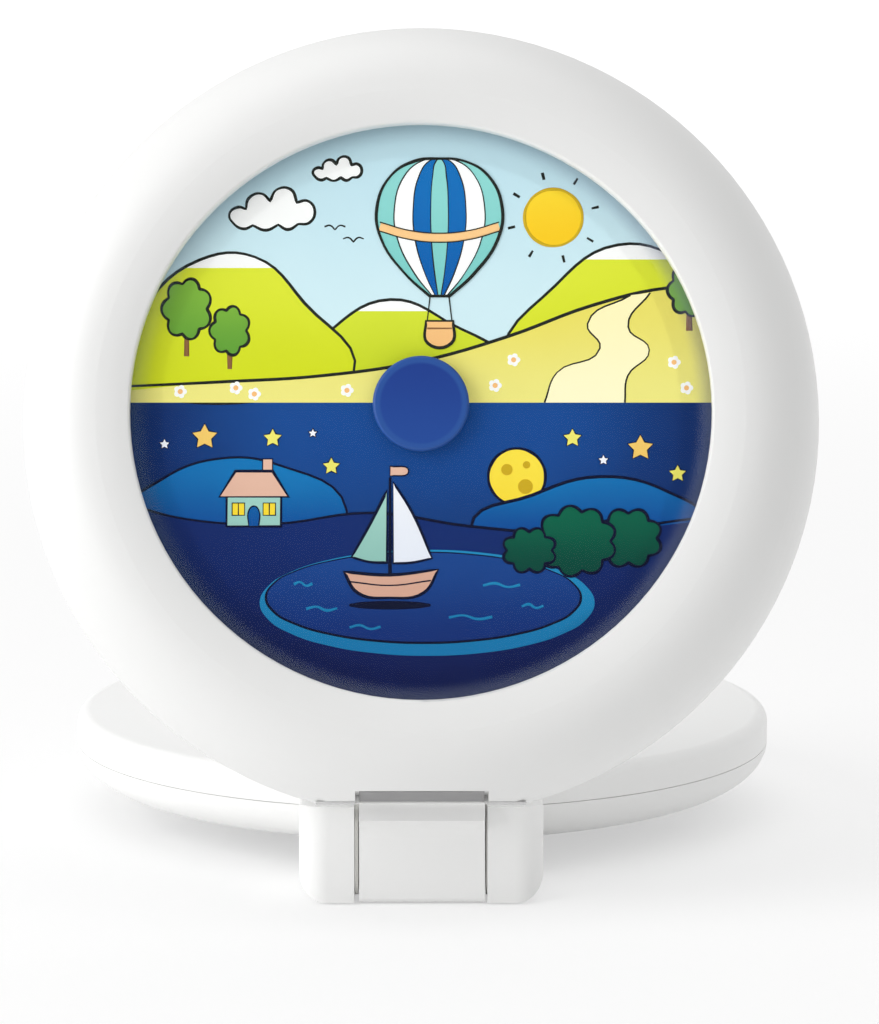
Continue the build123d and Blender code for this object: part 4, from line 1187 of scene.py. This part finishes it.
# The back space, moved out so that inks drawn at x, y lie on what the node has there. A ray from
# well behind finds how far that is.
def onBackOf(node, x, y):
    above = backSpace @ Vector((x, y, 60))
    inwards = -(backSpace.to_3x3() @ Vector((0, 0, 1))).normalized()
    _, place, _, _ = nodes[node].ray_cast(above, inwards)
    level = (backSpace.inverted() @ place).z
    return backSpace @ Matrix.Translation((0, 0, level - picture["film"]))


def printBack():
    drawDisplay()
    settleInks(onBackOf("display_glass", 0, 13), "head", "display")
    for key, (x, drawSign) in signs.items():
        drawSign(x, keyRow)
        settleInks(onBackOf(key, x, keyRow), key, key.replace("_key", ""))
    fillIn(ring(*marks["full"]), "mark", 0)
    stroke(ring(*marks["open"]), "mark", 0, 0.3, closed=True)
    x, y, _ = marks["full"]
    settleInks(onBackOf("rear_cover", x, y), "head", "switch")
    print("back printed:", len(signs), "keys, display and switch")


camera = {
    "place": (0.003, -0.992, 0.2153),
    "pitch": 9.33,
    "lens": 202.2,
}


def addCamera():
    turn = (math.radians(90 - camera["pitch"]), 0, 0)
    bpy.ops.object.camera_add(location=camera["place"], rotation=turn)
    made = bpy.context.object
    made.data.lens = camera["lens"]
    made.data.clip_end = 20
    bpy.context.scene.camera = made


studio = {
    "key": {"place": (-1.27, -0.62, 0.62), "size": 1.1, "power": 13.3},
    "top": {"place": (-0.1, -0.1, 1.4), "size": 1.1, "power": 3.5},
    "room": 0.46,  # light of the room in front of the object
    "back": 0.4,  # added behind it
    "right": 0.24,  # added on the right
    "above": 0.16,
    "floor": 1.0,  # what the floor throws back at the object
    "seen": 0.5,  # what is seen of the light on it
    "glow": 0.5,  # near the object, rising to the next value far away
    "haze": 0.86,
}


def addLamp(name, place, size, power):
    aim = Vector((0, 0, 0.07)) - Vector(place)
    turn = aim.to_track_quat("-Z", "Y").to_euler()
    bpy.ops.object.light_add(type="AREA", location=place, rotation=turn)
    lamp = bpy.context.object
    lamp.name = name
    lamp.data.size = size
    lamp.data.energy = power


# A soft room, brighter behind, above and on the right, and white where it is seen
def addRoom():
    world = bpy.data.worlds.new("studio")
    bpy.context.scene.world = world
    finish = Finish("studio", world)

    def facing(direction):
        sockets = {0: finish.node("TexCoord", output="Generated"), 1: direction}
        return finish.node("VectorMath", {"operation": "DOT_PRODUCT"}, sockets, "Value")

    back = facing((0, 1, 0)).between(-0.3, 0.8) * studio["back"]
    right = facing((1, 0, 0)).between(0, 1) * studio["right"]
    above = facing((0, 0, 1)).between(0, 1) * studio["above"]
    light = back + right + above + studio["room"]
    seen = finish.looked()
    strength = light * (1 - seen) + seen
    finish.done(finish.node("Background", None, {"Strength": strength}), "OutputWorld")


# Paper floor: it is seen paler and with a softer shadow than its light on the object would give,
# and it is seen through from below
def layFloor():
    finish = Finish("floorPaper")
    seen = finish.looked()
    tooth = finish.noise(2 * mm, 2.0)
    pale, bright = studio["seen"], studio["floor"]
    colour = finish.blend(seen, (bright, bright, bright, 1), (pale, pale, pale, 1))
    worn = finish.blend(tooth * 0.02, colour, (0.4, 0.4, 0.4, 1))
    paper = finish.node("BsdfDiffuse", None, {"Color": worn})
    away = finish.node("VectorMath", {"operation": "LENGTH"}, {0: finish.place()}, "Value")
    rise = away.between(0.15, 1.6) * (studio["haze"] - studio["glow"]) + studio["glow"]
    glow = finish.node("Emission", None, {"Strength": seen * rise})
    top = finish.node("AddShader", None, {0: paper, 1: glow})
    below = finish.node("NewGeometry", output="Backfacing") * seen
    clear = finish.node("BsdfTransparent")
    finish.done(finish.node("MixShader", None, {0: below, 1: top, 2: clear}))
    bpy.ops.mesh.primitive_plane_add(size=12, location=(0, 0, -0.05 * mm))
    floor = bpy.context.object
    floor.name = "floor"
    floor.data.materials.append(finish.owner)


def addStudio():
    for name in ("key", "top"):
        addLamp(name, **studio[name])
    addRoom()
    layFloor()
    bpy.context.scene.view_settings.view_transform = "Standard"
    print("camera and studio set")


addCamera()
addStudio()
buildFinishes()
cutFilm()
drawPicture()
settleInks(headSpace, "head", "print")
layPaintedEdge()
fitNotchShade()
fitLugGapShade()
printBack()
